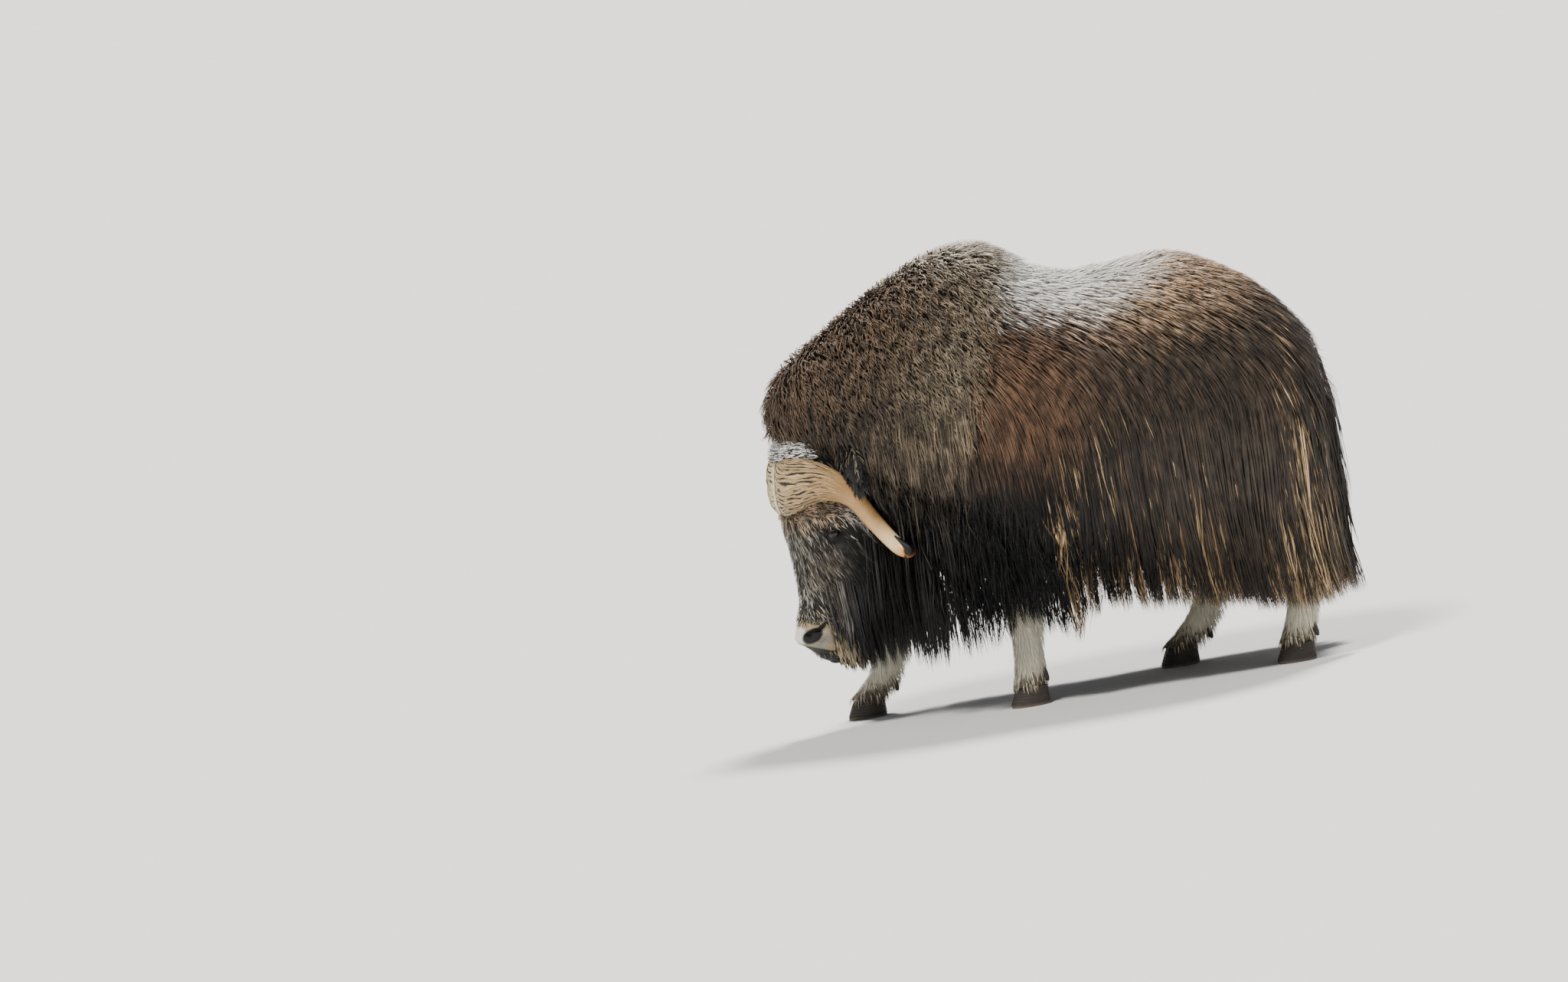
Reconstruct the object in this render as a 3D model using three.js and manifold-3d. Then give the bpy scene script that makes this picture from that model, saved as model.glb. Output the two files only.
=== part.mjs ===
// A bull muskox, life size, standing with its head lowered and turned a little to its left.
// Millimetres, +Z up, nose towards -X, left side towards -Y, soles on the plane Z = 0.
// The body is an oval carried along the neck and back, the head an oval carried from poll to chin,
// and the long coat is made of flat, tapered locks that hang in tiers over a core.
import * as THREE from "three";
import { mergeVertices } from "three/addons/utils/BufferGeometryUtils.js";
import Module from "manifold-3d";

const wasm = await Module();
wasm.setup();

// Driving sizes
const CLEAR = 0.35; // gap kept between touching pieces
const TRACK = 185; // half the distance between left and right feet
const CORONET = 58; // height of the hoof's upper edge
const HAIR_LEAN = 0.1; // the coat hangs forward by this share of its drop
const HEAD_TURN = THREE.MathUtils.degToRad(12); // towards the animal's left
const HEAD_AXIS_X = -440; // upright axis that the head turns about
const EYE_RADIUS = 21;
const MANE_EDGE = { x: -44, lean: 0.42 }; // where the mane ends, at a height of 850
const THIGH_EDGE = { x: 610, lean: 0.1 }; // the front of the thighs, at a height of 850
const SKIRT_TOP = 690; // height of the roots of the longest locks
const LOCK_THICKNESS = 7; // half thickness of a lock
const LAYER = 15; // every second lock of a tier lies this much higher
const ROOT_DEPTH = 32; // how deep a lock's root is sunk in the core
const SIDES = [
  { name: "left", sign: -1 },
  { name: "right", sign: 1 },
];

// Stations of the body's core: top of the outline, bottom of the outline, half width, pinch of the top
const BODY_STATIONS = [
  { top: [-600, 912], bottom: [-455, 838], half: 72, pinch: 0 },
  { top: [-606, 982], bottom: [-345, 765], half: 114, pinch: 0.05 },
  { top: [-552, 1080], bottom: [-290, 640], half: 152, pinch: 0.1 },
  { top: [-434, 1154], bottom: [-240, 520], half: 200, pinch: 0.15 },
  { top: [-269, 1254], bottom: [-180, 460], half: 244, pinch: 0.2 },
  { top: [-70, 1347], bottom: [-80, 450], half: 278, pinch: 0.25 },
  { top: [75, 1357], bottom: [55, 450], half: 300, pinch: 0.25 },
  { top: [210, 1277], bottom: [200, 455], half: 316, pinch: 0.2 },
  { top: [345, 1237], bottom: [350, 460], half: 326, pinch: 0.16 },
  { top: [500, 1244], bottom: [500, 465], half: 334, pinch: 0.16 },
  { top: [650, 1240], bottom: [650, 470], half: 330, pinch: 0.16 },
  { top: [794, 1170], bottom: [790, 465], half: 310, pinch: 0.14 },
  { top: [908, 1076], bottom: [900, 450], half: 272, pinch: 0.1 },
  { top: [996, 942], bottom: [975, 460], half: 210, pinch: 0.05 },
  { top: [1028, 800], bottom: [1018, 540], half: 112, pinch: 0 },
];
const BODY_SQUARENESS = 2.25;

// Stations of the head: height, front and back of the outline, half width
const HEAD_STATIONS = [
  { z: 905, front: -555, back: -420, half: 50 },
  { z: 865, front: -596, back: -345, half: 98 },
  { z: 785, front: -608, back: -300, half: 124 },
  { z: 700, front: -614, back: -285, half: 130 },
  { z: 640, front: -622, back: -282, half: 134 },
  { z: 585, front: -616, back: -288, half: 124 },
  { z: 520, front: -606, back: -305, half: 105 },
  { z: 450, front: -603, back: -345, half: 84 },
  { z: 390, front: -609, back: -395, half: 71 },
  { z: 345, front: -630, back: -430, half: 67 },
  { z: 305, front: -643, back: -458, half: 64 },
  { z: 280, front: -634, back: -468, half: 61 },
  { z: 252, front: -606, back: -480, half: 54 },
  { z: 230, front: -578, back: -490, half: 44 },
  { z: 212, front: -556, back: -508, half: 22 },
];
const HEAD_SQUARENESS = 2.4;

// Stations of a horn: centre, outward direction, half breadth and half thickness, for the left side
const HORN_STATIONS = [
  { at: [-600, -7, 755], out: [-1, 0, 0.1], breadth: 92, thickness: 30 },
  { at: [-609, -45, 757], out: [-0.97, -0.2, 0.1], breadth: 89, thickness: 34 },
  { at: [-602, -92, 763], out: [-0.8, -0.6, 0.15], breadth: 82, thickness: 36 },
  { at: [-566, -130, 767], out: [-0.4, -0.9, 0.15], breadth: 73, thickness: 34 },
  { at: [-523, -152, 758], out: [-0.1, -1, 0.1], breadth: 57, thickness: 31 },
  { at: [-483, -166, 738], out: [0, -1, 0.05], breadth: 43, thickness: 29 },
  { at: [-442, -179, 701], out: [0, -1, 0], breadth: 31, thickness: 27 },
  { at: [-404, -191, 637], out: [0, -1, 0], breadth: 26.5, thickness: 25 },
  { at: [-366, -207, 575], out: [-0.1, -1, -0.1], breadth: 24.5, thickness: 23.5 },
  { at: [-337, -230, 532], out: [-0.1, -0.8, -0.5], breadth: 22, thickness: 21 },
  { at: [-318, -262, 520], out: [0, -0.5, -0.85], breadth: 18, thickness: 17 },
  { at: [-331, -288, 543], out: [0, -0.9, -0.3], breadth: 11, thickness: 11 },
  { at: [-364, -300, 580], out: [0, -1, 0], breadth: 2.2, thickness: 2.2 },
];

// Each leg: stations of height, centre along the body, half depth and half width; and the toe's tip
const LEGS = {
  fore_left: {
    side: -1,
    toe: -42,
    heel: 74,
    stations: [
      [620, 70, 70, 58],
      [480, 62, 66, 56],
      [380, 52, 56, 50],
      [295, 44, 50, 46],
      [205, 40, 40, 38],
      [115, 34, 44, 44],
      [CORONET + CLEAR, 26, 50, 50],
    ],
  },
  fore_right: {
    side: 1,
    toe: -528,
    heel: -372,
    stations: [
      [620, -130, 72, 58],
      [480, -205, 68, 56],
      [380, -262, 60, 50],
      [295, -310, 54, 46],
      [205, -354, 44, 38],
      [115, -402, 48, 44],
      [CORONET + CLEAR, -456, 52, 50],
    ],
  },
  hind_left: {
    side: -1,
    toe: 766,
    heel: 893,
    stations: [
      [640, 820, 110, 66],
      [500, 892, 84, 58],
      [395, 922, 60, 46],
      [300, 902, 48, 42],
      [205, 880, 42, 38],
      [115, 856, 46, 44],
      [CORONET + CLEAR, 834, 51, 50],
    ],
  },
  hind_right: {
    side: 1,
    toe: 430,
    heel: 590,
    stations: [
      [640, 640, 110, 66],
      [500, 690, 84, 58],
      [395, 706, 62, 46],
      [300, 668, 52, 42],
      [205, 622, 46, 38],
      [115, 562, 50, 44],
      [CORONET + CLEAR, 500, 53, 50],
    ],
  },
};

// A repeatable draw between two limits
function drawFrom(seed) {
  let state = seed * 7919;
  return (low, high) => {
    state = (state * 1664525 + 1013904223) % 4294967296;
    return low + ((high - low) * state) / 4294967296;
  };
}
const draw = drawFrom(3);

const lerp = THREE.MathUtils.lerp;
const smooth = THREE.MathUtils.smoothstep;

// A closed geometry as a solid, turned right side out if its faces point inwards
function solidOf(geometry) {
  const bare = geometry.index ? geometry.clone() : geometry;
  bare.deleteAttribute("normal");
  bare.deleteAttribute("uv");
  const merged = mergeVertices(bare, 1e-3);
  const faces = [];
  const index = merged.index.array;
  for (let i = 0; i < index.length; i += 3) {
    const [a, b, c] = [index[i], index[i + 1], index[i + 2]];
    if (a !== b && b !== c && a !== c) faces.push(a, b, c);
  }
  const vertProperties = merged.attributes.position.array;
  const build = (triVerts) =>
    new wasm.Manifold(new wasm.Mesh({ numProp: 3, vertProperties, triVerts: new Uint32Array(triVerts) }));
  const made = build(faces);
  if (made.volume() > 0) return made;
  const turned = [];
  for (let i = 0; i < faces.length; i += 3) turned.push(faces[i], faces[i + 2], faces[i + 1]);
  return build(turned);
}

// Moves every vertex of a geometry to the point that the function gives for it
function reshaped(geometry, place) {
  const position = geometry.attributes.position;
  const point = new THREE.Vector3();
  for (let i = 0; i < position.count; i++) {
    point.fromBufferAttribute(position, i);
    const moved = place(point.clone());
    position.setXYZ(i, moved.x, moved.y, moved.z);
  }
  return geometry;
}

// A smooth curve through stations, read by a share of its length in stations
function curveThrough(vectors) {
  return new THREE.CatmullRomCurve3(vectors, false, "catmullrom", 0.5);
}

// An oval tube: section(share) gives its centre, two half axes and squareness
function ovalTube(sides, rings, section) {
  const tube = new THREE.CylinderGeometry(1, 1, 1, sides, rings);
  return reshaped(tube, (p) => {
    const share = THREE.MathUtils.clamp(0.5 - p.y, 0, 1);
    const radius = Math.hypot(p.x, p.z);
    const angle = Math.atan2(p.x, p.z);
    const { centre, up, across, squareness = 2, pinch = 0 } = section(share);
    const power = 2 / squareness;
    const high = Math.sign(Math.cos(angle)) * Math.abs(Math.cos(angle)) ** power * radius;
    const wide = Math.sign(Math.sin(angle)) * Math.abs(Math.sin(angle)) ** power * radius;
    return centre
      .clone()
      .addScaledVector(up, high)
      .addScaledVector(across, wide * (1 - pinch * high));
  });
}

// The body's outline in the plane of symmetry, as curves
const bodyTop = curveThrough(BODY_STATIONS.map((s) => new THREE.Vector3(s.top[0], 0, s.top[1])));
const bodyBottom = curveThrough(BODY_STATIONS.map((s) => new THREE.Vector3(s.bottom[0], 0, s.bottom[1])));
const bodyWidth = curveThrough(BODY_STATIONS.map((s) => new THREE.Vector3(s.half, s.pinch, 0)));

function bodySection(share) {
  const top = bodyTop.getPoint(share);
  const bottom = bodyBottom.getPoint(share);
  const width = bodyWidth.getPoint(share);
  return {
    centre: top.clone().add(bottom).multiplyScalar(0.5),
    up: top.clone().sub(bottom).multiplyScalar(0.5),
    across: new THREE.Vector3(0, width.x, 0),
    squareness: BODY_SQUARENESS,
    pinch: width.y,
  };
}

// The body's core, grown by a distance all round
function bodyCore(grow = 0) {
  return solidOf(
    ovalTube(16, 21, (share) => {
      const section = bodySection(share);
      const tall = section.up.length();
      section.up.multiplyScalar((tall + grow) / tall);
      section.across.y += grow;
      return section;
    }),
  );
}

// Half width of the body's core at a point of the side view, and 0 outside its outline
const BODY_SCAN = Array.from({ length: 241 }, (_, i) => bodySection(i / 240));
function bodyHalfWidth(x, z) {
  let best = null;
  let least = Infinity;
  for (const section of BODY_SCAN) {
    const along = section.up.clone().normalize();
    const dx = x - section.centre.x;
    const dz = z - section.centre.z;
    const off = Math.abs(dx * along.z - dz * along.x);
    if (off < least) {
      least = off;
      best = { section, high: (dx * along.x + dz * along.z) / section.up.length() };
    }
  }
  if (least > 12 || Math.abs(best.high) >= 1) return 0;
  const n = BODY_SQUARENESS;
  const wide = (1 - Math.abs(best.high) ** n) ** (1 / n);
  return best.section.across.y * wide * (1 - best.section.pinch * best.high);
}

// Outward direction of the body's side at a point of the side view
function bodyNormal(x, z, side) {
  const step = 6;
  const alongX = (bodyHalfWidth(x + step, z) - bodyHalfWidth(x - step, z)) / (2 * step);
  const alongZ = (bodyHalfWidth(x, z + step) - bodyHalfWidth(x, z - step)) / (2 * step);
  return new THREE.Vector3(-alongX, side, -alongZ).normalize();
}

// One lock: a flat, ridged blade carried along points, full near its root and tapered to a point.
// The last point is the tip; normals give the ridged side's outward direction.
function lock(points, normals, breadth, rings = 4, grow = 0) {
  const path = new THREE.CatmullRomCurve3(points, false, "catmullrom", 0.5);
  const facing = new THREE.CatmullRomCurve3(normals, false, "catmullrom", 0.5);
  const cone = new THREE.ConeGeometry(1, 1, 3, rings);
  return reshaped(cone, (p) => {
    const share = THREE.MathUtils.clamp(0.5 + p.y, 0, 1);
    const centre = path.getPoint(share);
    const tangent = path.getTangent(share);
    if (Math.hypot(p.x, p.z) < 1e-6) return centre.addScaledVector(tangent, share > 0.5 ? 8 * grow : -grow);
    const out = facing.getPoint(share).normalize();
    const flat = tangent.clone().cross(out).normalize();
    const angle = Math.atan2(p.x, p.z);
    const full = Math.sqrt(1 - share) * lerp(0.8, 1.15, Math.sin(Math.PI * share));
    const across = (Math.sin(angle) / BLADE_EDGE) * (breadth * full + 2 * grow);
    const deep = Math.cos(angle) * 1.4 * (Math.max(LOCK_THICKNESS * full, 1.5) + 1.5 * grow);
    return centre.addScaledVector(flat, across).addScaledVector(out, deep);
  });
}
const BLADE_EDGE = Math.sin((2 * Math.PI) / 3); // the section's corners are a third of a turn apart

const LOCK_STEPS = [0, 0.16, 0.4, 0.7, 1];

// A lock that lies down the body's side and drops free below its widest place. from and to are the
// heights of root and tip, lift and rise its distance off the core there, lean its way along the body.
function sideLock(shape) {
  const { x, side, from, to, lift, rise, breadth, lean = HAIR_LEAN, sweep, ease = 1, rings } = shape;
  const points = [];
  const normals = [];
  let widest = 0;
  for (const share of LOCK_STEPS) {
    const z = lerp(from, to, share ** ease);
    const at = x - lean * (from - z) + sweep * share * share;
    const here = bodyHalfWidth(at, z);
    const hanging = here < widest - 0.5;
    widest = Math.max(widest, here);
    const normal = hanging ? new THREE.Vector3(0, side, 0) : bodyNormal(at, z, side);
    const off = lerp(-ROOT_DEPTH, lift + rise * share, smooth(share, 0, 0.2));
    points.push(new THREE.Vector3(at, side * widest, z).addScaledVector(normal, off));
    normals.push(normal);
  }
  return lock(points, normals, breadth, rings);
}

// A lock that lies along the crest of the neck and back; a negative reach runs towards the head
function crestLock({ share, y = 0, reach, lift, breadth }) {
  const points = [];
  const normals = [];
  const length = bodyTop.getLength();
  for (const step of LOCK_STEPS) {
    const at = THREE.MathUtils.clamp(share + (reach * step) / length, 0.002, 0.998);
    const top = bodyTop.getPoint(at);
    const tangent = bodyTop.getTangent(at);
    const out = new THREE.Vector3(-tangent.z, 0, tangent.x);
    const off = lerp(-ROOT_DEPTH, lift, smooth(step, 0, 0.3));
    points.push(top.clone().addScaledVector(out, off).add(new THREE.Vector3(0, y, 0)));
    normals.push(out);
  }
  return lock(points, normals, breadth);
}

// Rearmost place of the body's core at a height and a distance from the middle
function bodyRear(y, z) {
  for (let x = 1040; x > 700; x -= 5) if (bodyHalfWidth(x, z) >= Math.abs(y)) return x;
  return 700;
}

// A lock that hangs over the back of the rump
function rearLock({ y, from, to, lift, rise = 0, breadth }) {
  const points = [];
  const normals = [];
  let farthest = 0;
  for (const share of LOCK_STEPS) {
    const z = lerp(from, to, share);
    farthest = Math.max(farthest, bodyRear(y, z));
    const normal = new THREE.Vector3(1, y / 300, 0).normalize();
    const off = lerp(-ROOT_DEPTH, lift + rise * share, smooth(share, 0, 0.2));
    points.push(new THREE.Vector3(farthest, y, z).addScaledVector(normal, off));
    normals.push(normal);
  }
  return lock(points, normals, breadth);
}

// Turns a point of the head from the plane of symmetry to where the head looks
function turned(p) {
  const dx = p.x - HEAD_AXIS_X;
  const [c, s] = [Math.cos(HEAD_TURN), Math.sin(HEAD_TURN)];
  return new THREE.Vector3(HEAD_AXIS_X + dx * c - p.y * s, dx * s + p.y * c, p.z);
}

// Turns a direction in the same way
function turnedWay(x, y, z) {
  return turned(new THREE.Vector3(HEAD_AXIS_X + x, y, z)).sub(new THREE.Vector3(HEAD_AXIS_X, 0, 0));
}

const headFrame = curveThrough(HEAD_STATIONS.map((s) => new THREE.Vector3(s.front, s.back, s.z)));
const headWidth = curveThrough(HEAD_STATIONS.map((s) => new THREE.Vector3(s.half, 0, 0)));

function headSection(share, grow = 0) {
  const line = headFrame.getPoint(share);
  const [front, back] = [line.x - grow, line.y + grow];
  return {
    centre: new THREE.Vector3((front + back) / 2, 0, line.z + grow * (1 - 2 * share)),
    up: new THREE.Vector3((front - back) / 2, 0, 0),
    across: new THREE.Vector3(0, headWidth.getPoint(share).x + grow, 0),
    squareness: HEAD_SQUARENESS,
  };
}

// Half width of the head at a height and place along it
function headHalfWidth(x, z) {
  let best = headSection(0);
  for (let i = 0; i <= 120; i++) {
    const section = headSection(i / 120);
    if (Math.abs(section.centre.z - z) < Math.abs(best.centre.z - z)) best = section;
  }
  const high = Math.min(Math.abs((x - best.centre.x) / best.up.x), 1);
  return best.across.y * (1 - high ** HEAD_SQUARENESS) ** (1 / HEAD_SQUARENESS);
}

// An egg of three half sizes at a point of the head
function egg(at, sizes, sides = 9, rings = 6) {
  return reshaped(new THREE.SphereGeometry(1, sides, rings), (p) =>
    turned(new THREE.Vector3(at[0] + p.x * sizes[0], at[1] + p.y * sizes[1], at[2] + p.z * sizes[2])),
  );
}

// A round bar carried through points of the head, with a half thickness at each
function headBar(points, halves, sides = 5, rings = 5) {
  const path = curveThrough(points.map((p) => new THREE.Vector3(...p)));
  const size = curveThrough(halves.map((h) => new THREE.Vector3(h, 0, 0)));
  const bar = ovalTube(sides, rings, (share) => {
    const tangent = path.getTangent(share);
    const up = new THREE.Vector3(0, 0, 1).cross(tangent);
    if (up.length() < 0.2) up.set(0, 1, 0).cross(tangent);
    up.normalize();
    const half = size.getPoint(share).x;
    return {
      centre: path.getPoint(share),
      up: up.clone().multiplyScalar(half),
      across: tangent.clone().cross(up).normalize().multiplyScalar(half),
    };
  });
  return reshaped(bar, turned);
}

const EYE = { x: -507, z: 602, depth: 11 }; // place of the eye's middle, and how deep it sits
function eyeCentre(side) {
  return [EYE.x, side * (headHalfWidth(EYE.x, EYE.z) - EYE.depth), EYE.z];
}

function eyeball(side, grow) {
  return egg(eyeCentre(side), Array(3).fill(EYE_RADIUS + grow));
}

// Upper and lower lid of one eye: arcs round the eyeball, thickest in the middle
function lids(side) {
  const [x, y, z] = eyeCentre(side);
  const reach = EYE_RADIUS + 1.5;
  return [1, -1].map((above) => {
    const points = [-1, -0.5, 0, 0.5, 1].map((along) => {
      const high = above * (above > 0 ? 12.5 : 11.5) * Math.cos((along * Math.PI) / 2);
      const out = Math.sqrt(Math.max(reach ** 2 - (along * 19) ** 2 - high ** 2, 9));
      return [x + along * 23, y + side * (out - 1), z + high + along * 2];
    });
    return headBar(points, [1.5, 4.5, 5.5, 4.5, 1.5], 5, 6);
  });
}

// The corner of the mouth runs from the front of the lips back along the side of the muzzle
const MOUTH = [
  [-652, 0, 288],
  [-634, 40, 280],
  [-600, 60, 267],
  [-558, 66, 249],
  [-515, 66, 236],
];

// A lock that lies down the side of the head and hangs free below its jaw. spread is the share of the
// head's half width at which it is rooted.
function headLock({ x, side, from, to, lift, rise = 0, breadth, spread = 1, grow = 0, rings }) {
  const points = [];
  const normals = [];
  let widest = 0;
  for (const share of LOCK_STEPS) {
    const z = lerp(from, to, share);
    const at = x - HAIR_LEAN * (from - z);
    widest = Math.max(widest, headHalfWidth(at, z) * spread);
    const off = lerp(-ROOT_DEPTH * 0.7, lift + rise * share, smooth(share, 0, 0.2));
    points.push(turned(new THREE.Vector3(at, side * (widest + off), z)));
    normals.push(turnedWay(0, side, 0));
  }
  return lock(points, normals, breadth, rings, grow);
}

// Beard and cheeks: rows of locks from the jaw's edge up to the cheek, each row over the one below
function headCoat(grow = 0) {
  const made = [];
  const vary = drawFrom(7);
  const row = (count, fromX, toX, fromZ, toZ, tipFrom, tipTo, rest) => {
    for (const { sign } of SIDES) {
      for (let i = 0; i < count; i++) {
        const share = i / (count - 1);
        made.push(
          headLock({
            x: lerp(fromX, toX, share),
            side: sign,
            from: lerp(fromZ, toZ, share),
            to: lerp(tipFrom, tipTo, share) + vary(-12, 12),
            grow,
            ...rest,
            lift: rest.lift + (i % 2) * LAYER,
          }),
        );
      }
    }
  };
  row(4, -520, -385, 318, 405, 206, 132, { lift: 2, breadth: 32, spread: 0.5 });
  row(4, -455, -335, 440, 540, 240, 150, { lift: 6, breadth: 33 });
  row(3, -385, -315, 590, 640, 390, 320, { lift: 8, rise: 22, breadth: 33, rings: 3 });
  return made;
}

// The white tuft on the crown, above the horns
function crownTuft(grow = 0) {
  const made = [];
  for (const y of [-64, -30, 4, 38]) {
    const points = [
      [-545, y * 0.8, 860],
      [-590, y * 0.95, 880],
      [-626, y, 872],
      [-640, y * 1.05, 848],
    ].map((p) => turned(new THREE.Vector3(...p)));
    const out = turnedWay(-0.6, 0, 0.8);
    made.push(lock(points, points.map(() => out), 23, 3, grow));
  }
  return made;
}

function join(pieces) {
  return wasm.Manifold.union(pieces);
}

function keepLargest(solid) {
  const bodies = solid.decompose();
  return bodies.reduce((a, b) => (b.volume() > a.volume() ? b : a));
}

// The part of space between two upright walls that cross the body. Each wall is given by its place
// along the body at a height.
const WALL_BEND = 540; // height below which the walls stand straight
function between(fromWall, toWall) {
  const box = new THREE.BoxGeometry(1, 1, 1, 1, 1, 2);
  return solidOf(
    reshaped(box, (p) => {
      const z = p.z < -0.1 ? -200 : p.z > 0.1 ? 1600 : WALL_BEND;
      return new THREE.Vector3((p.x < 0 ? fromWall : toWall)(z), p.y * 1200, z);
    }),
  );
}
const wall = ({ x, lean }, shift = 0) => (z) => x + shift + lean * (Math.max(z, WALL_BEND) - 850);

function hornSolid(side, grow = 0) {
  const sided = ([x, y, z]) => new THREE.Vector3(x, -side * y, z);
  const at = curveThrough(HORN_STATIONS.map((station) => sided(station.at)));
  const out = curveThrough(HORN_STATIONS.map((station) => sided(station.out)));
  const size = curveThrough(HORN_STATIONS.map((s) => new THREE.Vector3(s.breadth, s.thickness, 0)));
  const horn = ovalTube(10, 15, (share) => {
    const tangent = at.getTangent(share);
    const facing = out.getPoint(share).normalize();
    const flat = tangent.clone().cross(facing).normalize();
    const half = size.getPoint(share);
    return {
      centre: at.getPoint(share),
      up: flat.multiplyScalar(half.x + grow),
      across: tangent.clone().cross(flat).normalize().multiplyScalar(-(half.y + grow)),
      squareness: lerp(2.6, 2, smooth(share, 0, 0.5)),
    };
  });
  return solidOf(reshaped(horn, turned));
}

// The ear: a pointed leaf with a hollow on its outer, forward face
const EAR = { root: [-436, 110, 872], tip: [-432, 258, 748], breadth: 42, depth: 20 };
function earSolid(side, grow = 0) {
  const root = new THREE.Vector3(EAR.root[0], side * EAR.root[1], EAR.root[2]);
  const tip = new THREE.Vector3(EAR.tip[0], side * EAR.tip[1], EAR.tip[2]);
  const along = tip.clone().sub(root);
  const out = new THREE.Vector3(-0.75, side * 0.65, 0.15);
  const flat = along.clone().cross(out).normalize();
  const face = flat.clone().cross(along).normalize();
  if (face.dot(out) < 0) face.negate();
  const leaf = (shift, shrink, from, to) =>
    solidOf(
      reshaped(
        ovalTube(8, 5, (share) => {
          const full = Math.sin(Math.PI * lerp(0.14, 0.97, share)) ** 0.7 * shrink;
          return {
            centre: root.clone().addScaledVector(along, lerp(from, to, share)).addScaledVector(face, shift),
            up: flat.clone().multiplyScalar(EAR.breadth * full + grow),
            across: face.clone().multiplyScalar(EAR.depth * full + grow),
          };
        }),
        turned,
      ),
    );
  return grow ? leaf(0, 1, 0, 1.02) : leaf(0, 1, 0, 1).subtract(leaf(12, 0.76, 0.28, 0.93));
}

// One claw of a hoof: the sole is a half moon with a pointed toe, and the wall leans back to the coronet
function clawSolid(toe, y, outward) {
  const claw = new THREE.CylinderGeometry(1, 1, 1, 11, 1);
  return solidOf(
    reshaped(claw, (p) => {
      const up = p.y + 0.5;
      const radius = Math.hypot(p.x, p.z);
      const angle = Math.atan2(p.x, p.z);
      const forward = Math.cos(angle) * radius;
      const sideways = Math.sin(angle) * radius;
      const length = lerp(60, 46, up);
      const back = lerp(0, 13, up);
      const taper = 1 - 0.3 * Math.max(forward, 0) ** 2;
      const width = (sideways > 0 ? 33 : 19) * lerp(1, 0.84, up) * taper;
      const x = toe + 60 + back - forward * length;
      return new THREE.Vector3(x, y + outward * (23 + sideways * width), up * CORONET);
    }),
  );
}

// A dewclaw: a small blunt cone behind the fetlock
function dewclawSolid(x, y, outward) {
  const cone = new THREE.CylinderGeometry(1, 1, 1, 6, 2);
  return solidOf(
    reshaped(cone, (p) => {
      const share = 0.5 - p.y;
      const size = lerp(15, 5, share);
      return new THREE.Vector3(
        x + 26 * share + p.x * size * 0.5,
        y + outward * (17 + 4 * share) + p.z * size * 0.9,
        98 - 30 * share + p.x * size,
      );
    }),
  );
}

function legSolid({ side, stations }, grow = 0) {
  const line = curveThrough(stations.map(([z, x]) => new THREE.Vector3(x, 0, z)));
  const size = curveThrough(stations.map(([, , depth, width]) => new THREE.Vector3(depth, width, 0)));
  return solidOf(
    ovalTube(8, 10, (share) => {
      const at = line.getPoint(share);
      const half = size.getPoint(share);
      return {
        centre: new THREE.Vector3(at.x, side * TRACK, at.z),
        up: new THREE.Vector3(half.x + grow, 0, 0),
        across: new THREE.Vector3(0, half.y + grow, 0),
        squareness: 2.1,
      };
    }),
  );
}

// Height of the coat's hem along the body
const HEM = curveThrough(
  [
    [-340, 150],
    [-180, 150],
    [-70, 160],
    [40, 262],
    [120, 200],
    [180, 185],
    [260, 285],
    [400, 262],
    [560, 262],
    [700, 232],
    [840, 185],
    [1000, 200],
  ].map(([x, z]) => new THREE.Vector3(x, 0, z)),
);
function hemHeight(x) {
  let nearest = HEM.getPoint(0);
  for (let i = 1; i <= 80; i++) {
    const point = HEM.getPoint(i / 80);
    if (Math.abs(point.x - x) < Math.abs(nearest.x - x)) nearest = point;
  }
  return nearest.z;
}

// A tier of side locks on both sides, each a little different: first and last place along the body and
// their number, then the heights of root and tip, or functions that give them for a place.
function sideTier([fromX, toX, count], [from, to], shape) {
  const { lift = 12, rise = 0, riseRight = rise, sweep = 0, ...rest } = shape;
  const made = [];
  const at = (value, x) => (typeof value === "function" ? value(x) : value);
  for (const { sign } of SIDES) {
    for (let i = 0; i < count; i++) {
      const x = lerp(fromX, toX, i / (count - 1)) + draw(-6, 6);
      made.push(
        sideLock({
          ...rest,
          x,
          side: sign,
          from: at(from, x),
          to: at(to, x) + draw(-14, 14),
          lift: lift + (i % 2) * LAYER,
          rise: sign > 0 ? riseRight : rise,
          breadth: rest.breadth * draw(0.94, 1.08),
          sweep: sweep * draw(0.5, 1.3),
        }),
      );
    }
  }
  return made;
}

// Height of the core's crest above a place along the body
function crestHeight(x) {
  for (let z = 1400; z > 600; z -= 4) if (bodyHalfWidth(x, z) > 0) return z;
  return 600;
}
const belowCrest = (drop) => (x) => crestHeight(x) - drop;
// Locks rooted at the crest sweep backwards
const overCrest = { rise: 24, lean: -0.25, ease: 1.9, rings: 3 };

// The coat of the barrel and of the rump, from the lowest tier up to the crest
function barrelCoat() {
  return [
    ...sideTier([-140, -120, 2], [560, 146], { rise: 14, breadth: 40 }),
    ...sideTier([-80, 582, 10], [SKIRT_TOP, hemHeight], { breadth: 43, sweep: 26 }),
    ...sideTier([-62, 588, 8], [895, 540], { rise: 26, breadth: 54 }),
    ...sideTier([30, 570, 6], [1080, 790], { rise: 26, breadth: 60, lean: -0.1, rings: 3 }),
    ...sideTier([105, 550, 5], [belowCrest(14), 985], { ...overCrest, breadth: 66 }),
    ...[0.545, 0.6, 0.655].map((share) => crestLock({ share, reach: 180, lift: 17, breadth: 66 })),
  ];
}

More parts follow.
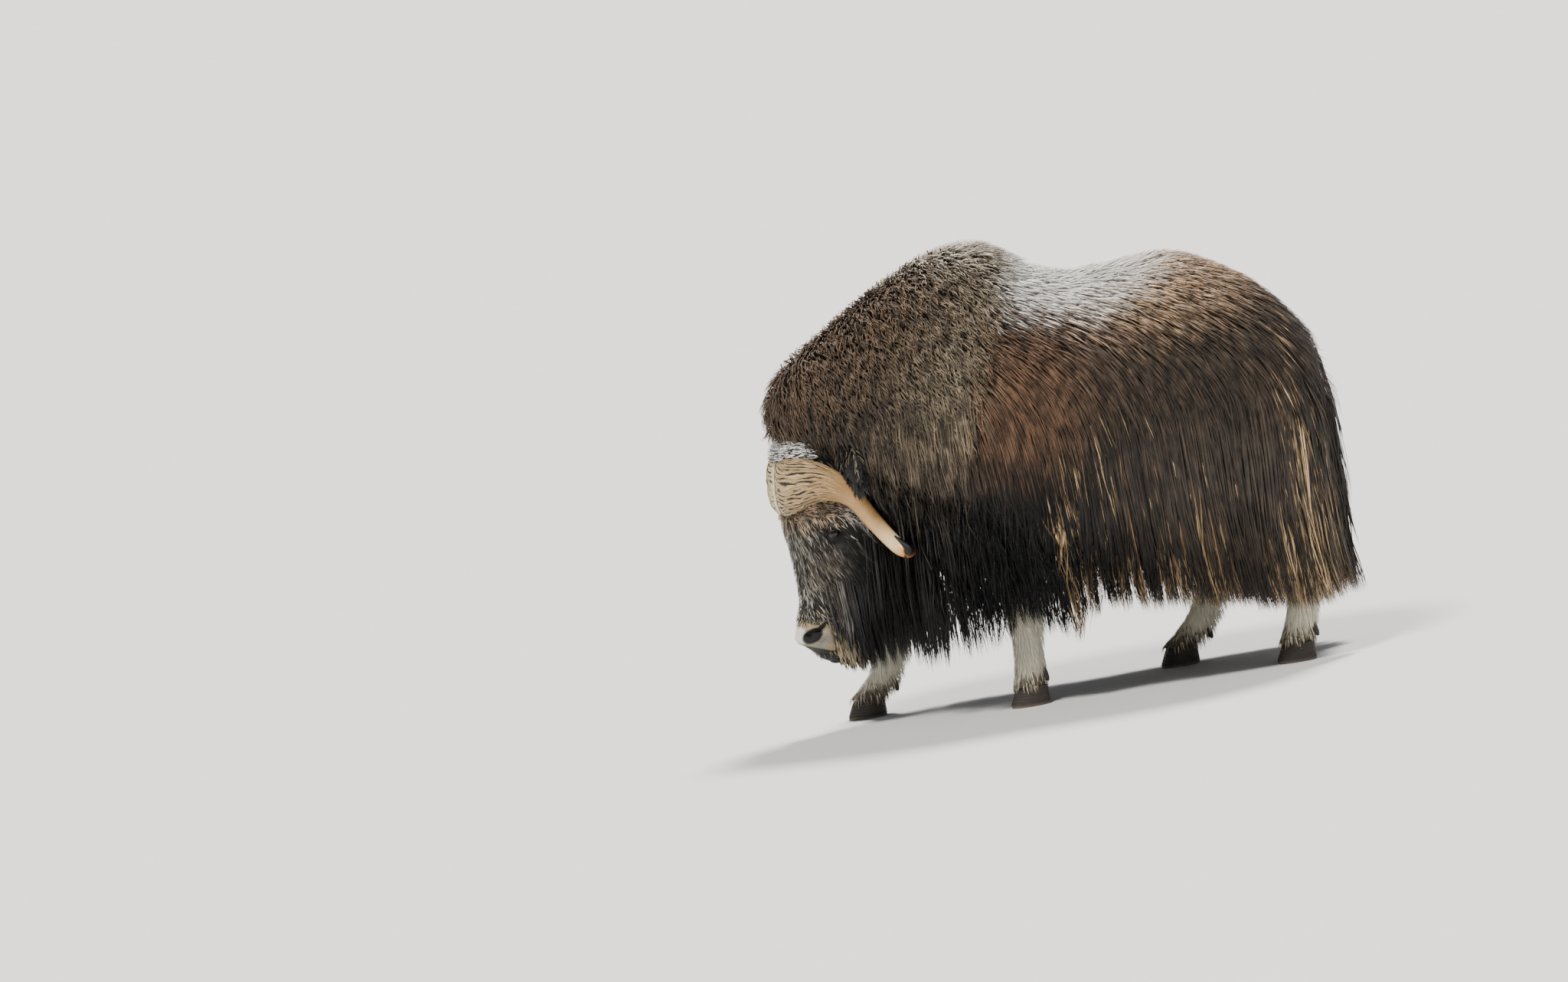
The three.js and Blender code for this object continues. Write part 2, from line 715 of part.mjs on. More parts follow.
function rumpCoat() {
  const tier = (ys, from, to, rise) =>
    ys.map((y, i) => {
      const lift = 12 + (i % 2) * LAYER;
      return rearLock({ y, from, to: to + draw(-14, 14), lift, rise, breadth: 42 });
    });
  return [
    ...tier([-185, -111, -37, 37, 111, 185], 700, 215, 0),
    ...tier([-150, -75, 75, 150], 890, 470, 26),
    ...tier([-90, 0, 90], 1010, 760, 26),
    ...sideTier([612, 1000, 7], [SKIRT_TOP, hemHeight], { breadth: 42, sweep: 20 }),
    ...sideTier([628, 980, 5], [895, 510], { rise: 26, breadth: 52 }),
    ...sideTier([640, 930, 4], [1050, 760], { rise: 26, breadth: 54, lean: -0.1, rings: 3 }),
    ...sideTier([640, 850, 3], [belowCrest(14), belowCrest(250)], { ...overCrest, breadth: 60 }),
    ...[0.735, 0.785, 0.835, 0.88].map((share) => crestLock({ share, reach: 160, lift: 13, breadth: 62 })),
  ];
}

// The locks at the front of the crest, from root to tip in the side view, fall towards the crown
const FORELOCK = [
  [-490, 1078],
  [-550, 1066],
  [-592, 1018],
  [-613, 960],
  [-610, 905],
];

// The mane over neck, hump and throat, in tiers that run alongside its crest
function neckCoat() {
  const backEdge = wall(MANE_EDGE);
  const tier = (drop, length, fromX, margin, count, rest) => {
    const middle = crestHeight(-150) - drop;
    const heights = [belowCrest(drop), belowCrest(drop + length)];
    const spread = [fromX, backEdge(middle) - margin, count];
    return sideTier(spread, heights, { lift: 14, rise: 18, rings: 3, ...rest });
  };
  const throat = [];
  const bib = (x, y, from, to, lean = HAIR_LEAN) => {
    const tip = to + draw(-10, 10);
    const at = (share) => [x - lean * (from - tip) * share, y * (1 + 0.08 * share), lerp(from, tip, share)];
    const points = LOCK_STEPS.map((share) => new THREE.Vector3(...at(share)));
    throat.push(lock(points, points.map(() => new THREE.Vector3(-1, 0, 0)), 38));
  };
  const forelock = (y) => {
    const along = (x, z) => new THREE.Vector3(x + Math.abs(y) * 0.4, y, z - Math.abs(y) * 0.3);
    const points = FORELOCK.map(([x, z]) => along(x, z));
    return lock(points, points.map(() => new THREE.Vector3(-1, 0, 0.5)), 44);
  };
  for (const y of [-96, -32, 32, 88]) bib(-295, y, 640, 122);
  for (const y of [-190, -128, -64, 0, 64]) bib(-205, y, 560, 140);
  bib(-335, 150, 690, 190, 0.24);
  return [
    ...throat,
    ...sideTier([-232, -178, 2], [640, 136], { rise: 16, riseRight: 62, breadth: 42 }),
    ...tier(520, 300, -262, 20, 4, { breadth: 44, rise: 14, riseRight: 60, rings: 4 }),
    ...tier(380, 270, -320, 30, 4, { breadth: 54, rise: 12, riseRight: 22 }),
    ...tier(250, 250, -385, 35, 5, { breadth: 56, lean: -0.1 }),
    ...tier(125, 235, -460, 35, 5, { breadth: 60, lean: -0.2 }),
    ...tier(14, 220, -505, 40, 5, { ...overCrest, rise: 18, breadth: 70 }),
    ...[-70, 0, 70].map((y) => forelock(y)),
    ...[0.165, 0.225, 0.28, 0.335, 0.39].map((share) =>
      crestLock({ share, reach: 180, lift: 17, breadth: 60 }),
    ),
  ];
}

const TAIL = { root: [1015, 0, 900], tip: [1058, 0, 740], half: 30 };
function tailSolid(grow = 0) {
  return solidOf(
    ovalTube(8, 6, (share) => ({
      centre: new THREE.Vector3(...TAIL.root).lerp(new THREE.Vector3(...TAIL.tip), share),
      up: new THREE.Vector3(lerp(26, 6, share) + grow, 0, 0),
      across: new THREE.Vector3(0, TAIL.half * (1 - 0.7 * share ** 2) + grow, 0),
    })),
  );
}

// Materials, one for each finish
const finish = (color, roughness) => new THREE.MeshStandardMaterial({ color, roughness, metalness: 0 });
const MATERIALS = {
  coat: finish(0x3a2b20, 0.9),
  mane: finish(0x6a5644, 0.95),
  face: finish(0x2b2521, 0.9),
  leg: finish(0xb9a98c, 0.95),
  horn: finish(0xc09a62, 0.55),
  hoof: finish(0x2a2622, 0.5),
  eye: finish(0x120c08, 0.1),
};

// Adds a solid as a named mesh, cut clear of the pieces that it touches, and hands the solid back
const muskox = new THREE.Group();
function place(name, solid, material, ...touching) {
  let whole = solid.simplify(0.05);
  for (const other of touching) whole = whole.subtract(other);
  whole = keepLargest(whole);
  const { vertProperties, triVerts } = whole.getMesh();
  const geometry = new THREE.BufferGeometry();
  geometry.setAttribute("position", new THREE.BufferAttribute(vertProperties, 3));
  geometry.setIndex(new THREE.BufferAttribute(triVerts, 1));
  const mesh = new THREE.Mesh(geometry, material);
  mesh.name = name;
  muskox.add(mesh);
  return whole;
}

// Head: the oval from poll to chin with brow, lips and lids, the mouth's line and the nostrils cut in
function headFlesh(grow = 0) {
  return solidOf(reshaped(ovalTube(18, 19, (share) => headSection(share, grow)), turned));
}
function headSolid() {
  let head = headFlesh();
  for (const { sign } of SIDES) {
    const brow = headBar(
      [
        [-560, sign * 100, 655],
        [-510, sign * 118, 645],
        [-460, sign * 118, 630],
      ],
      [12, 17, 12],
    );
    const lip = headBar(
      MOUTH.slice(1).map(([x, y, z]) => [x + 4, sign * (y - 9), z + 10]),
      [8, 10, 11, 6],
    );
    const nostrilRim = egg([-612, sign * 38, 304], [24, 22, 18], 8, 6);
    head = join([head, solidOf(brow), solidOf(lip), solidOf(nostrilRim), ...lids(sign).map(solidOf)]);
  }
  for (const { sign } of SIDES) {
    head = head.subtract(solidOf(eyeball(sign, CLEAR)));
    head = head.subtract(solidOf(egg([-626, sign * 50, 303], [20, 14, 9], 8, 6)));
    const mouth = MOUTH.map(([x, y, z]) => [x, sign * y, z]);
    head = head.subtract(solidOf(headBar(mouth, [2.2, 2.6, 3, 3, 1.6], 4, 6)));
  }
  return head;
}

const midline = solidOf(
  reshaped(new THREE.BoxGeometry(900, 9, 900), (p) => turned(p.add(new THREE.Vector3(HEAD_AXIS_X, 0, 700)))),
);
const core = bodyCore();
const grownCore = bodyCore(CLEAR);
const grownHead = headFlesh(CLEAR);
const grownHorns = join(SIDES.map(({ sign }) => hornSolid(sign, CLEAR * 2)));
const grownEars = join(SIDES.map(({ sign }) => earSolid(sign, CLEAR * 1.5)));
const grownLegs = join(Object.values(LEGS).map((leg) => legSolid(leg, CLEAR)));

const facePieces = SIDES.flatMap(({ name, sign }) => [
  place(`horn_${name}`, hornSolid(sign).subtract(midline), MATERIALS.horn),
  place(`ear_${name}`, earSolid(sign).subtract(grownHead), MATERIALS.face),
  place(`eye_${name}`, solidOf(eyeball(sign, 0)), MATERIALS.eye),
]);
const dressedHead = join([headSolid(), ...[...headCoat(), ...crownTuft()].map(solidOf)]);
const clearHead = dressedHead.subtract(grownHorns).subtract(grownEars);
const head = place("head", clearHead, MATERIALS.face, ...facePieces);

// The body is parted at the mane's back edge and in front of the thighs. Locks lie clear of the legs.
const neckSpace = between(() => -1500, wall(MANE_EDGE, -CLEAR));
const barrelSpace = between(wall(MANE_EDGE), wall(THIGH_EDGE, -CLEAR));
const rumpSpace = between(wall(THIGH_EDGE), () => 1500);
const dressed = (coat, space) =>
  join([core, join(coat.map(solidOf)).subtract(grownLegs)]).intersect(space);

const grownHair = join([...headCoat(CLEAR), ...crownTuft(CLEAR)].map(solidOf));
const inFront = join([grownHead, grownHorns, grownEars, grownHair]);
place("neck", dressed(neckCoat(), neckSpace).subtract(inFront), MATERIALS.mane, head, ...facePieces);
place("torso_barrel", dressed(barrelCoat(), barrelSpace), MATERIALS.coat);
place("torso_rump", dressed(rumpCoat(), rumpSpace).subtract(tailSolid(CLEAR)), MATERIALS.coat);
place("tail", tailSolid(), MATERIALS.coat);

for (const [name, leg] of Object.entries(LEGS)) {
  place(`leg_${name}`, legSolid(leg).subtract(grownCore), MATERIALS.leg);
  for (const [which, outward] of [["outer", 1], ["inner", -1]]) {
    const turn = outward * leg.side;
    place(`hoof_${name}_${which}`, clawSolid(leg.toe, leg.side * TRACK, turn), MATERIALS.hoof);
    const dewclaw = dewclawSolid(leg.heel, leg.side * TRACK, turn);
    place(`dewclaw_${name}_${which}`, dewclaw.subtract(legSolid(leg, CLEAR)), MATERIALS.hoof);
  }
}

// The origin is under the middle of the animal, on the floor
const bounds = new THREE.Box3().setFromObject(muskox);
const middle = bounds.getCenter(new THREE.Vector3());
muskox.position.set(-middle.x, -middle.y, -bounds.min.z);

export default muskox;
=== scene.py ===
import bpy
import numpy as np
from mathutils import Matrix, Vector


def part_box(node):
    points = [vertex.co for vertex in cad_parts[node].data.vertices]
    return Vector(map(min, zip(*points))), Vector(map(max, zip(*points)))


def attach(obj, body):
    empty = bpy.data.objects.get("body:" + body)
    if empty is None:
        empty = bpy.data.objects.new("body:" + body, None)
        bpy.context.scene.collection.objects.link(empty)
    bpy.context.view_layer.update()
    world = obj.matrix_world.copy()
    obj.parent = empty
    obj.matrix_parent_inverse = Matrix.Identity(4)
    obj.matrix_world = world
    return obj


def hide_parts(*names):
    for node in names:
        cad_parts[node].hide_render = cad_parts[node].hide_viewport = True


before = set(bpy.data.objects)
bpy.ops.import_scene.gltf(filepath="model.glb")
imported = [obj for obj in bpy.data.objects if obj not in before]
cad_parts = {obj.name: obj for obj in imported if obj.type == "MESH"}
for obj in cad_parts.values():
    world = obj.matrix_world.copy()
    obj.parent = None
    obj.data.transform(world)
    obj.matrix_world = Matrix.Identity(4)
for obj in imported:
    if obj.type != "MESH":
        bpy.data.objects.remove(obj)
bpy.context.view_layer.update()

# The trunk is the animal's neck, hump, barrel and rump under the coat: skin over muscle, one rounded
# form from the nape to the rump. It is drawn nose towards -X and set into the frame by two landmarks,
# the left fore toe and the tail.
TOE_TO_ORIGIN = 0.042
shift = Vector((
    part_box("hoof_fore_left_outer")[0].x + TOE_TO_ORIGIN,
    sum(corner.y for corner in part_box("tail")) / 2,
    0,
))

# Top of the outline (x, z), bottom of the outline (x, z), half width, pinch of the top
TRUNK_STATIONS = [
    (-0.600, 0.912, -0.455, 0.838, 0.072, 0),
    (-0.606, 0.982, -0.345, 0.765, 0.114, 0.05),
    (-0.552, 1.080, -0.290, 0.640, 0.152, 0.1),
    (-0.434, 1.154, -0.240, 0.520, 0.200, 0.15),
    (-0.269, 1.254, -0.180, 0.460, 0.244, 0.2),
    (-0.070, 1.347, -0.080, 0.450, 0.278, 0.25),
    (0.075, 1.357, 0.055, 0.450, 0.300, 0.25),
    (0.210, 1.277, 0.200, 0.455, 0.316, 0.2),
    (0.345, 1.237, 0.350, 0.460, 0.326, 0.16),
    (0.500, 1.244, 0.500, 0.465, 0.334, 0.16),
    (0.650, 1.240, 0.650, 0.470, 0.330, 0.16),
    (0.794, 1.170, 0.790, 0.465, 0.310, 0.14),
    (0.908, 1.076, 0.900, 0.450, 0.272, 0.1),
    (0.996, 0.942, 0.975, 0.460, 0.210, 0.05),
    (1.028, 0.800, 1.018, 0.540, 0.112, 0),
]
TRUNK_SQUARENESS = 2.25
SLICES, END_MARGIN = 181, 0.02


def curve_through(stations, share):
    """Catmull-Rom curve through rows of stations, read at a share (0 to 1) of the number of spans:
    p1 + t (p2 - p0) / 2 + t^2 (p0 - 5/2 p1 + 2 p2 - p3 / 2) + t^3 (3 (p1 - p2) + p3 - p0) / 2."""
    rows = np.asarray(stations, float)
    spans = len(rows) - 1
    at = np.clip(np.asarray(share, float), 0, 1) * spans
    start = np.minimum(at.astype(int), spans - 1)
    t = (at - start)[..., None]
    padded = np.vstack([2 * rows[0] - rows[1], rows, 2 * rows[-1] - rows[-2]])
    p0, p1, p2, p3 = (padded[start + i] for i in range(4))
    curved = t**2 * (p0 - 2.5 * p1 + 2 * p2 - 0.5 * p3) + t**3 * (1.5 * (p1 - p2) + 0.5 * (p3 - p0))
    return p1 + t / 2 * (p2 - p0) + curved


def unit(vectors):
    """vectors / |vectors|, row by row."""
    return vectors / np.maximum(np.linalg.norm(vectors, axis=-1, keepdims=True), 1e-9)


def smooth(values, low, high):
    """0 below low, 1 above high, and t^2 (3 - 2 t) between them."""
    t = np.clip((values - low) / (high - low), 0, 1)
    return t * t * (3 - 2 * t)


def upright(x, z=0.0):
    """Points or directions (x, 0, z), in the animal's plane of symmetry."""
    x, z = np.broadcast_arrays(x, z)
    return np.stack([x, np.zeros(x.shape), z], -1)


def sideways(y):
    """Directions (0, y, 0)."""
    return np.multiply.outer(y, (0, 1, 0))


def rounded(turn, squareness=2.0):
    """sign(c) |c|^(2/n) and sign(s) |s|^(2/n), for cosine c and sine s of a turn and squareness n."""
    angle = 2 * np.pi * turn
    return [np.sign(wave) * np.abs(wave) ** (2 / squareness) for wave in (np.cos(angle), np.sin(angle))]


class Form:
    """A rounded form carried along its length. spine(share) gives each slice's middle, its half axes up
    and across and, if need be, the pinch of its top; relief(points) is the height of what rises from it."""

    def __init__(self, spine, squareness=2.0, relief=None):
        self.spine = spine
        self.squareness = squareness
        self.relief = relief or (lambda points: np.zeros(points.shape[:-1]))
        self.slices = self.section(np.linspace(0, 1, SLICES))

    def section(self, share):
        """Middle, half axes and pinch of the slices, where no pinch is 0."""
        middle, up, across, *pinch = self.spine(share)
        return middle, up, across, pinch[0] if pinch else np.zeros(np.shape(share))

    def smooth_point(self, turn, share):
        """middle + up high + across wide (1 - pinch high), with high and wide on the rounded outline."""
        turn, share = np.broadcast_arrays(turn, share)
        middle, up, across, pinch = self.section(share)
        high, wide = (part[..., None] for part in rounded(turn, self.squareness))
        return middle + up * high + across * wide * (1 - pinch[..., None] * high)

    def outward(self, turn, share, step=0.003):
        """Cross product of the surface's two slopes, turned away from the slice's middle."""
        turn, share = np.broadcast_arrays(turn, share)
        low, high = np.clip(share - step, 0, 1), np.clip(share + step, 0, 1)
        along = self.smooth_point(turn, high) - self.smooth_point(turn, low)
        around = self.smooth_point(turn + step, share) - self.smooth_point(turn - step, share)
        normal = unit(np.cross(around, along))
        away = self.smooth_point(turn, share) - self.section(share)[0]
        return normal * np.where((normal * away).sum(-1, keepdims=True) < 0, -1, 1)

    def point(self, turn, share):
        """The smooth point moved outwards by the relief there."""
        base = self.smooth_point(turn, share)
        return base + self.outward(turn, share) * self.relief(base)[..., None]

    def height(self, places):
        """Height above the form, from the nearest slice: r = (|high|^n + |wide|^n)^(1/n) there, and the
        height is (1 - 1 / r) of the distance from the slice's middle, less the relief."""
        middle, up, across, pinch = self.slices
        along = unit(np.cross(up, across))
        off = places @ along.T - (middle * along).sum(-1)
        near = np.abs(off).argmin(-1)
        lower, upper = np.maximum(near - 1, 0), np.minimum(near + 1, len(middle) - 1)
        rows = np.arange(len(places))
        spacing = (off[rows, lower] - off[rows, upper]) / np.maximum(upper - lower, 1)
        part = np.clip(off[rows, near] / np.where(np.abs(spacing) < 1e-6, 1e-6, spacing), -0.5, 0.5)
        towards = np.where(part > 0, upper, lower)
        weight = np.abs(part)

        def at(values):
            return (values[near].T * (1 - weight) + values[towards].T * weight).T

        away = places - at(middle)
        up_here, across_here = at(up), at(across)
        high = (away * up_here).sum(-1) / (up_here**2).sum(-1)
        wide = (away * across_here).sum(-1) / (across_here**2).sum(-1)
        wide = wide / np.maximum(1 - at(pinch) * np.clip(high, -1, 1), 0.2)
        n = self.squareness
        radius = (np.abs(high) ** n + np.abs(wide) ** n) ** (1 / n)
        in_slice = np.linalg.norm(up_here * high[:, None] + across_here * wide[:, None], axis=-1)
        beyond = np.abs(off[rows, near]) - END_MARGIN
        flat = (1 - 1 / np.maximum(radius, 1e-3)) * in_slice
        return np.maximum(flat, np.where(beyond > 0, beyond, -1)) - self.relief(places)

    def height_and_way_out(self, places, step=0.006):
        """The height, and its slope, which points straight out of the form."""
        here = self.height(places)
        slope = np.stack([self.height(places + offset) - here for offset in np.eye(3) * step], -1)
        steep = np.maximum(np.linalg.norm(slope, axis=-1) / step, 0.5)
        return here / steep, unit(slope)


def trunk_spine(share):
    """From the outline's bottom to its top, and as wide as the stations."""
    row = curve_through(TRUNK_STATIONS, share)
    top, bottom = upright(row[..., 0], row[..., 1]), upright(row[..., 2], row[..., 3])
    return (top + bottom) / 2, (top - bottom) / 2, sideways(row[..., 4]), row[..., 5]


trunk = Form(trunk_spine, TRUNK_SQUARENESS)

# The head is carried low and turned to the left: skull, jaw and muzzle under thin skin, bare only at the
# nostrils and lips. Brow, cheek, lips, lids and nostrils rise from one rounded form from poll to chin.
HEAD_TURN = np.radians(12)
HEAD_AXIS = -0.44
HEAD_SQUARENESS = 2.4
EYE_RADIUS = 0.021
EYE_PLACE = np.array([-0.507, 0.1205, 0.602])
LID_HALF_WIDTH, LID_OPENING = 0.0200, 0.0078
LID_THICKNESS, LID_REACH, LID_BLEND = 0.0035, 0.040, 0.010
UPPER_LIP, LOWER_LIP, LIP_OFFSET, LIP_REACH = 0.006, 0.0045, 0.009, 0.008
GROOVE_DEPTH, GROOVE_REACH = 0.006, 0.0028

# Height, front and back of the outline, half width
HEAD_STATIONS = [
    (0.905, -0.555, -0.420, 0.050),
    (0.865, -0.596, -0.345, 0.098),
    (0.785, -0.608, -0.300, 0.124),
    (0.700, -0.614, -0.285, 0.130),
    (0.640, -0.622, -0.282, 0.134),
    (0.585, -0.616, -0.288, 0.124),
    (0.520, -0.606, -0.305, 0.105),
    (0.450, -0.603, -0.345, 0.084),
    (0.390, -0.609, -0.395, 0.071),
    (0.345, -0.630, -0.430, 0.067),
    (0.305, -0.643, -0.458, 0.064),
    (0.280, -0.634, -0.468, 0.061),
    (0.252, -0.606, -0.480, 0.054),
    (0.230, -0.578, -0.490, 0.044),
    (0.212, -0.556, -0.508, 0.022),
]
MOUTH_LINE = [
    (-0.652, 0.000, 0.288),
    (-0.634, 0.036, 0.280),
    (-0.600, 0.055, 0.267),
    (-0.558, 0.062, 0.249),
    (-0.515, 0.062, 0.236),
]
BROW_LINE = [(-0.580, 0.085, 0.660), (-0.545, 0.108, 0.655), (-0.505, 0.122, 0.645), (-0.455, 0.126, 0.620)]
FOLD_LINE = [(-0.560, 0.095, 0.566), (-0.520, 0.116, 0.563), (-0.480, 0.126, 0.572)]

# Height, line and reach of the ridges of the face, then height, place and reach of its mounds
RIDGES = [(0.018, BROW_LINE, 0.017), (0.004, FOLD_LINE, 0.006)]
MOUNDS = [
    (0.011, (-0.616, 0.044, 0.306), (0.034, 0.026, 0.024)),
    (-0.022, (-0.620, 0.048, 0.304), (0.018, 0.016, 0.011)),
    (-0.014, (-0.590, 0.060, 0.314), (0.022, 0.014, 0.006)),
    (0.005, (-0.592, 0.058, 0.292), (0.018, 0.014, 0.011)),
    (-0.004, (-0.650, 0.000, 0.298), (0.020, 0.004, 0.020)),
    (0.010, (-0.460, 0.115, 0.500), (0.060, 0.060, 0.055)),
    (-0.009, (-0.560, 0.090, 0.575), (0.026, 0.030, 0.026)),
    (0.009, (-0.507, 0.125, 0.602), (0.030, 0.030, 0.026)),
    (0.008, (-0.600, 0.000, 0.470), (0.030, 0.034, 0.090)),
    (0.005, (-0.570, 0.000, 0.226), (0.034, 0.034, 0.012)),
]


def turned(points, angle=HEAD_TURN):
    """Points or directions turned by an angle about the upright axis at x = 0."""
    c, s = np.cos(angle), np.sin(angle)
    x, y = points[..., 0], points[..., 1]
    return np.stack([x * c - y * s, x * s + y * c, points[..., 2]], -1)


def head_to_body(points):
    """From the head's own frame, symmetrical about y = 0, to where the head is."""
    axis = np.array([HEAD_AXIS, 0, 0])
    return turned(points - axis) + axis


def body_to_head(points):
    """From where the head is to its own frame."""
    axis = np.array([HEAD_AXIS, 0, 0])
    return turned(points - axis, -HEAD_TURN) + axis


def folded_head(points):
    """The head's own frame with both sides folded together."""
    own = body_to_head(points)
    own[..., 1] = np.abs(own[..., 1])
    return own


def head_spine(share):
    """From the outline's back to its front, at the stations' heights."""
    z, front, back, half = np.moveaxis(curve_through(HEAD_STATIONS, share), -1, 0)
    middle = head_to_body(upright((front + back) / 2, z))
    return middle, turned(upright((front - back) / 2)), turned(sideways(half))


def near_line(points, line):
    """Distance from points to the broken line through the rows of line."""
    least = np.full(points.shape[:-1], 1e3)
    for start, end in zip(np.array(line[:-1]), np.array(line[1:])):
        span = end - start
        t = np.clip((points - start) @ span / (span @ span), 0, 1)
        least = np.minimum(least, np.linalg.norm(points - start - t[..., None] * span, axis=-1))
    return least


def mound(points, place, reach):
    """exp(-(d / reach)^2), with one reach for each axis."""
    return np.exp(-(((points - np.array(place)) / np.array(reach)) ** 2).sum(-1))


def head_relief(points):
    """Lips with the mouth's groove between them, then ridges along lines, and mounds and hollows."""
    own = folded_head(points)
    mouth = near_line(own, MOUTH_LINE)
    lip_line = np.array(MOUTH_LINE)
    above_mouth = own[..., 2] > np.interp(own[..., 0], lip_line[:, 0], lip_line[:, 2])
    lips = np.where(above_mouth, UPPER_LIP, LOWER_LIP) * np.exp(-(((mouth - LIP_OFFSET) / LIP_REACH) ** 2))
    groove = GROOVE_DEPTH * np.exp(-((mouth / GROOVE_REACH) ** 2))
    ridges = sum(height * np.exp(-((near_line(own, line) / reach) ** 2)) for height, line, reach in RIDGES)
    return lips - groove + ridges + sum(height * mound(own, *given) for height, *given in MOUNDS)


def with_lids(points):
    """Skin near an eye drawn on to a shell round the eyeball, and sunk inside the almond between the
    lids: |height| < opening (1 - (along / half width)^2)."""
    own = body_to_head(points)
    for side in (-1, 1):
        away = own - EYE_PLACE * (1, side, 1)
        far = np.linalg.norm(away, axis=-1)
        along, high = away[..., 0], away[..., 2] - 0.08 * away[..., 0]
        facing = away[..., 1] * side > -0.012
        lid = np.maximum(far, EYE_RADIUS + LID_THICKNESS - 0.10 * np.maximum(np.abs(high) - 0.0125, 0))
        arch = LID_OPENING * (1 - (along / LID_HALF_WIDTH) ** 2)
        inside = smooth(arch - np.abs(high), -0.0006, 0.0012)
        wanted = lid + (EYE_RADIUS - 0.005 - lid) * inside
        blend = smooth(LID_REACH - far, 0, LID_BLEND) * facing
        own = own + unit(away) * ((wanted - far) * blend)[..., None]
    return head_to_body(own)


head = Form(head_spine, HEAD_SQUARENESS, head_relief)

# The legs are short and stout: bone and sinew under close pale hair, knee, hock and fetlock showing.
# Each runs from inside the trunk down to the upper edge of its hoof.
TRACK = 0.185
LEG_SQUARENESS = 2.1
CORONET = 0.0583
# Heights and half widths of the stations of a leg
FORE = (0.620, 0.480, 0.380, 0.295, 0.205, 0.115, CORONET), (0.058, 0.056, 0.050, 0.046, 0.038, 0.044, 0.050)
HIND = (0.640, 0.500, 0.395, 0.300, 0.205, 0.115, CORONET), (0.066, 0.058, 0.046, 0.042, 0.038, 0.044, 0.050)
# Side, heights and half widths, places along the body, half depths
LEG_STATIONS = {
    "fore_left": (-1, *FORE, (0.070, 0.062, 0.052, 0.044, 0.040, 0.034, 0.026),
                  (0.070, 0.066, 0.056, 0.050, 0.040, 0.044, 0.050)),
    "fore_right": (1, *FORE, (-0.130, -0.205, -0.262, -0.310, -0.354, -0.402, -0.456),
                   (0.072, 0.068, 0.060, 0.054, 0.044, 0.048, 0.052)),
    "hind_left": (-1, *HIND, (0.820, 0.892, 0.922, 0.902, 0.880, 0.856, 0.834),
                  (0.110, 0.084, 0.060, 0.048, 0.042, 0.046, 0.051)),
    "hind_right": (1, *HIND, (0.640, 0.690, 0.706, 0.668, 0.622, 0.562, 0.500),
                   (0.110, 0.084, 0.062, 0.052, 0.046, 0.050, 0.053)),
}


def leg_form(side, heights, widths, places, depths):
    """An upright oval whose middle, half depth and half width follow the stations."""
    stations = np.stack([heights, places, depths, widths], -1)

    def spine(share):
        z, x, depth, width = np.moveaxis(curve_through(stations, share), -1, 0)
        return upright(x, z) + (0, side * TRACK, 0), upright(depth), sideways(width)

    return Form(spine, LEG_SQUARENESS)


legs = {name: leg_form(*given) for name, given in LEG_STATIONS.items()}

# The ears are pointed leaves of gristle, hollow on their outer face, and lie half hidden in the mane.
# The tail is a short stub inside the rump's hair.
EAR_ROOT, EAR_TIP = np.array([-0.436, 0.110, 0.872]), np.array([-0.432, 0.258, 0.748])
EAR_BREADTH, EAR_DEPTH = 0.042, 0.020
EAR_HOLLOW = 0.022
TAIL_ROOT, TAIL_TIP = np.array([1.015, 0, 0.900]), np.array([1.058, 0, 0.740])


def ear_form(side):
    """A leaf: half breadth and half thickness go as sin(pi t)^0.7 from root to tip, and the outer face
    is hollowed between its edges."""
    flip = np.array([1, side, 1])
    along = (EAR_TIP - EAR_ROOT) * flip
    flat = unit(np.cross(along, (-0.75, side * 0.65, 0.15)))
    face = unit(np.cross(flat, along))

    def spine(share):
        full = (np.sin(np.pi * (0.14 + 0.83 * share)) ** 0.7)[..., None]
        middle = head_to_body(EAR_ROOT * flip + along * share[..., None])
        return middle, turned(flat * full * EAR_BREADTH), turned(face * full * EAR_DEPTH)

    def cup(points):
        own = body_to_head(points) - EAR_ROOT * flip
        t = own @ along / (along @ along)
        hollow = -EAR_HOLLOW * (own @ face > 0) * np.exp(-((own @ flat / EAR_BREADTH / 0.62) ** 4))
        return hollow * smooth(t, 0.22, 0.4) * smooth(0.95 - t, 0, 0.2)

    return Form(spine, relief=cup)


def tail_spine(share):
    """A stub that narrows from root to tip."""
    middle = TAIL_ROOT + (TAIL_TIP - TAIL_ROOT) * share[..., None]
    return middle, upright(0.026 - 0.020 * share), sideways(0.030 * (1 - 0.7 * share**2))


ears = {"left": ear_form(-1), "right": ear_form(1)}
tail = Form(tail_spine)

# One skin covers trunk, head, legs, ears and tail. It lies as deep in the solids as their coat's core,
# and each form's open ends are closed by a low dome inside its neighbour.
TRUNK_GRID, LIMB_GRID = (112, 110), (36, 44)
TRUNK_DOME, HEAD_DOME = 0.03, 0.012
# Counts, then places, reaches and weights of the spots where rows lie closer
HEAD_TURNS = (231, (0.19, 0.045, 2.2), (0.81, 0.045, 2.2), (0.06, 0.05, 1.6), (0.94, 0.05, 1.6))
HEAD_SHARES = (220, (0.39, 0.05, 1.8), (0.80, 0.10, 1.6))


def crowded(count, *spots):
    """count values from 0 to 1, closer together at each spot (place, reach, weight)."""
    fine = np.linspace(0, 1, 2001)
    density = 1 + sum(weight * np.exp(-(((fine - place) / reach) ** 2)) for place, reach, weight in spots)
    grown = np.concatenate([[0], np.cumsum((density[1:] + density[:-1]) / 2)])
    return np.interp(np.linspace(0, 1, count), grown / grown[-1], fine)


